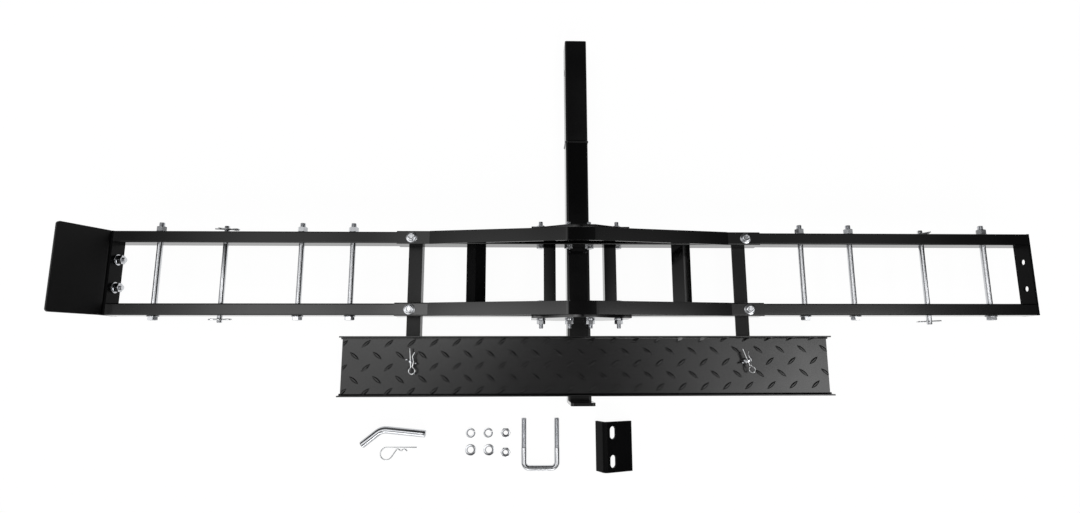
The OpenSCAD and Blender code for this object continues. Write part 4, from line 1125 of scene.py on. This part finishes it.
def lit_world():
    """Lights the carrier by the tent, is even below the horizon, and is white to the camera."""
    world = bpy.data.worlds.new("studio")
    bpy.context.scene.world = world
    world.use_nodes = True
    tree = world.node_tree
    coordinates = node_of(tree, "ShaderNodeTexCoord")
    direction = node_of(tree, "ShaderNodeSeparateXYZ")
    tree.links.new(coordinates.outputs["Generated"], direction.inputs["Vector"])
    height = math_of(tree, "MAXIMUM", direction.outputs["Z"], LOWEST_HEIGHT)
    across = math_of(tree, "DIVIDE", direction.outputs["X"], height)
    along = direction.outputs["Y"]
    ceiling = math_of(tree, "MULTIPLY", tent_profile(tree, across, CEILING_ACROSS),
                      tent_profile(tree, along, CEILING_ALONG))
    front = math_of(tree, "MULTIPLY", tent_profile(tree, across, FRONT_ACROSS),
                    tent_profile(tree, along, FRONT_ALONG))
    level = math_of(tree, "MULTIPLY", math_of(tree, "ADD", ceiling, front), BRIGHTEST * BRIGHTEST)
    tent = node_of(tree, "ShaderNodeMix", data_type="FLOAT")
    set_inputs(tent, {"A": 1.0})
    tree.links.new(math_of(tree, "GREATER_THAN", direction.outputs["Z"], 0.0), tent.inputs["Factor"])
    tree.links.new(level, tent.inputs["B"])
    rays = node_of(tree, "ShaderNodeLightPath")
    seen = node_of(tree, "ShaderNodeMix", data_type="FLOAT")
    set_inputs(seen, {"B": 1.0})
    tree.links.new(rays.outputs["Is Camera Ray"], seen.inputs["Factor"])
    tree.links.new(tent.outputs["Result"], seen.inputs["A"])
    background = tree.nodes["Background"]
    set_inputs(background, {"Color": (1, 1, 1, 1)})
    tree.links.new(seen.outputs["Result"], background.inputs["Strength"])


# Floor
FLOOR_SIZE = 20.0
FLOOR_GAP = 0.0002
PAPER = (0.8, 0.8, 0.8, 1)
SHADOW_TAKER = (0.08, 0.08, 0.08, 1)
FLOOR_GLOW = 0.96


def floor_material():
    """White to the camera and in reflections, with the carrier's faint shadow kept."""
    material = bpy.data.materials.new("white_floor")
    material.use_nodes = True
    tree = material.node_tree
    tree.nodes.remove(tree.nodes["Principled BSDF"])
    paper = node_of(tree, "ShaderNodeBsdfDiffuse")
    set_inputs(paper, {"Color": PAPER})
    faint = node_of(tree, "ShaderNodeBsdfDiffuse")
    set_inputs(faint, {"Color": SHADOW_TAKER})
    glow = node_of(tree, "ShaderNodeEmission")
    set_inputs(glow, {"Strength": FLOOR_GLOW})
    shown = node_of(tree, "ShaderNodeAddShader")
    rays = node_of(tree, "ShaderNodeLightPath")
    direct = math_of(tree, "MAXIMUM", rays.outputs["Is Camera Ray"], rays.outputs["Is Glossy Ray"])
    seen = math_of(tree, "MAXIMUM", direct, rays.outputs["Is Transmission Ray"])
    choice = node_of(tree, "ShaderNodeMixShader")
    link = tree.links.new
    link(glow.outputs[0], shown.inputs[0])
    link(faint.outputs[0], shown.inputs[1])
    link(seen, choice.inputs["Fac"])
    link(paper.outputs[0], choice.inputs[1])
    link(shown.outputs[0], choice.inputs[2])
    link(choice.outputs[0], tree.nodes["Material Output"].inputs["Surface"])
    return material


def white_floor():
    bm = bmesh.new()
    bmesh.ops.create_grid(bm, x_segments=1, y_segments=1, size=FLOOR_SIZE)
    bmesh.ops.translate(bm, verts=bm.verts, vec=(0, 0, (FLOOR_Z + HALF_BAR) * MM - FLOOR_GAP))
    floor = object_from("floor", bm)
    floor.data.materials.append(floor_material())


lit_world()
white_floor()
bpy.context.scene.view_settings.view_transform = "Standard"
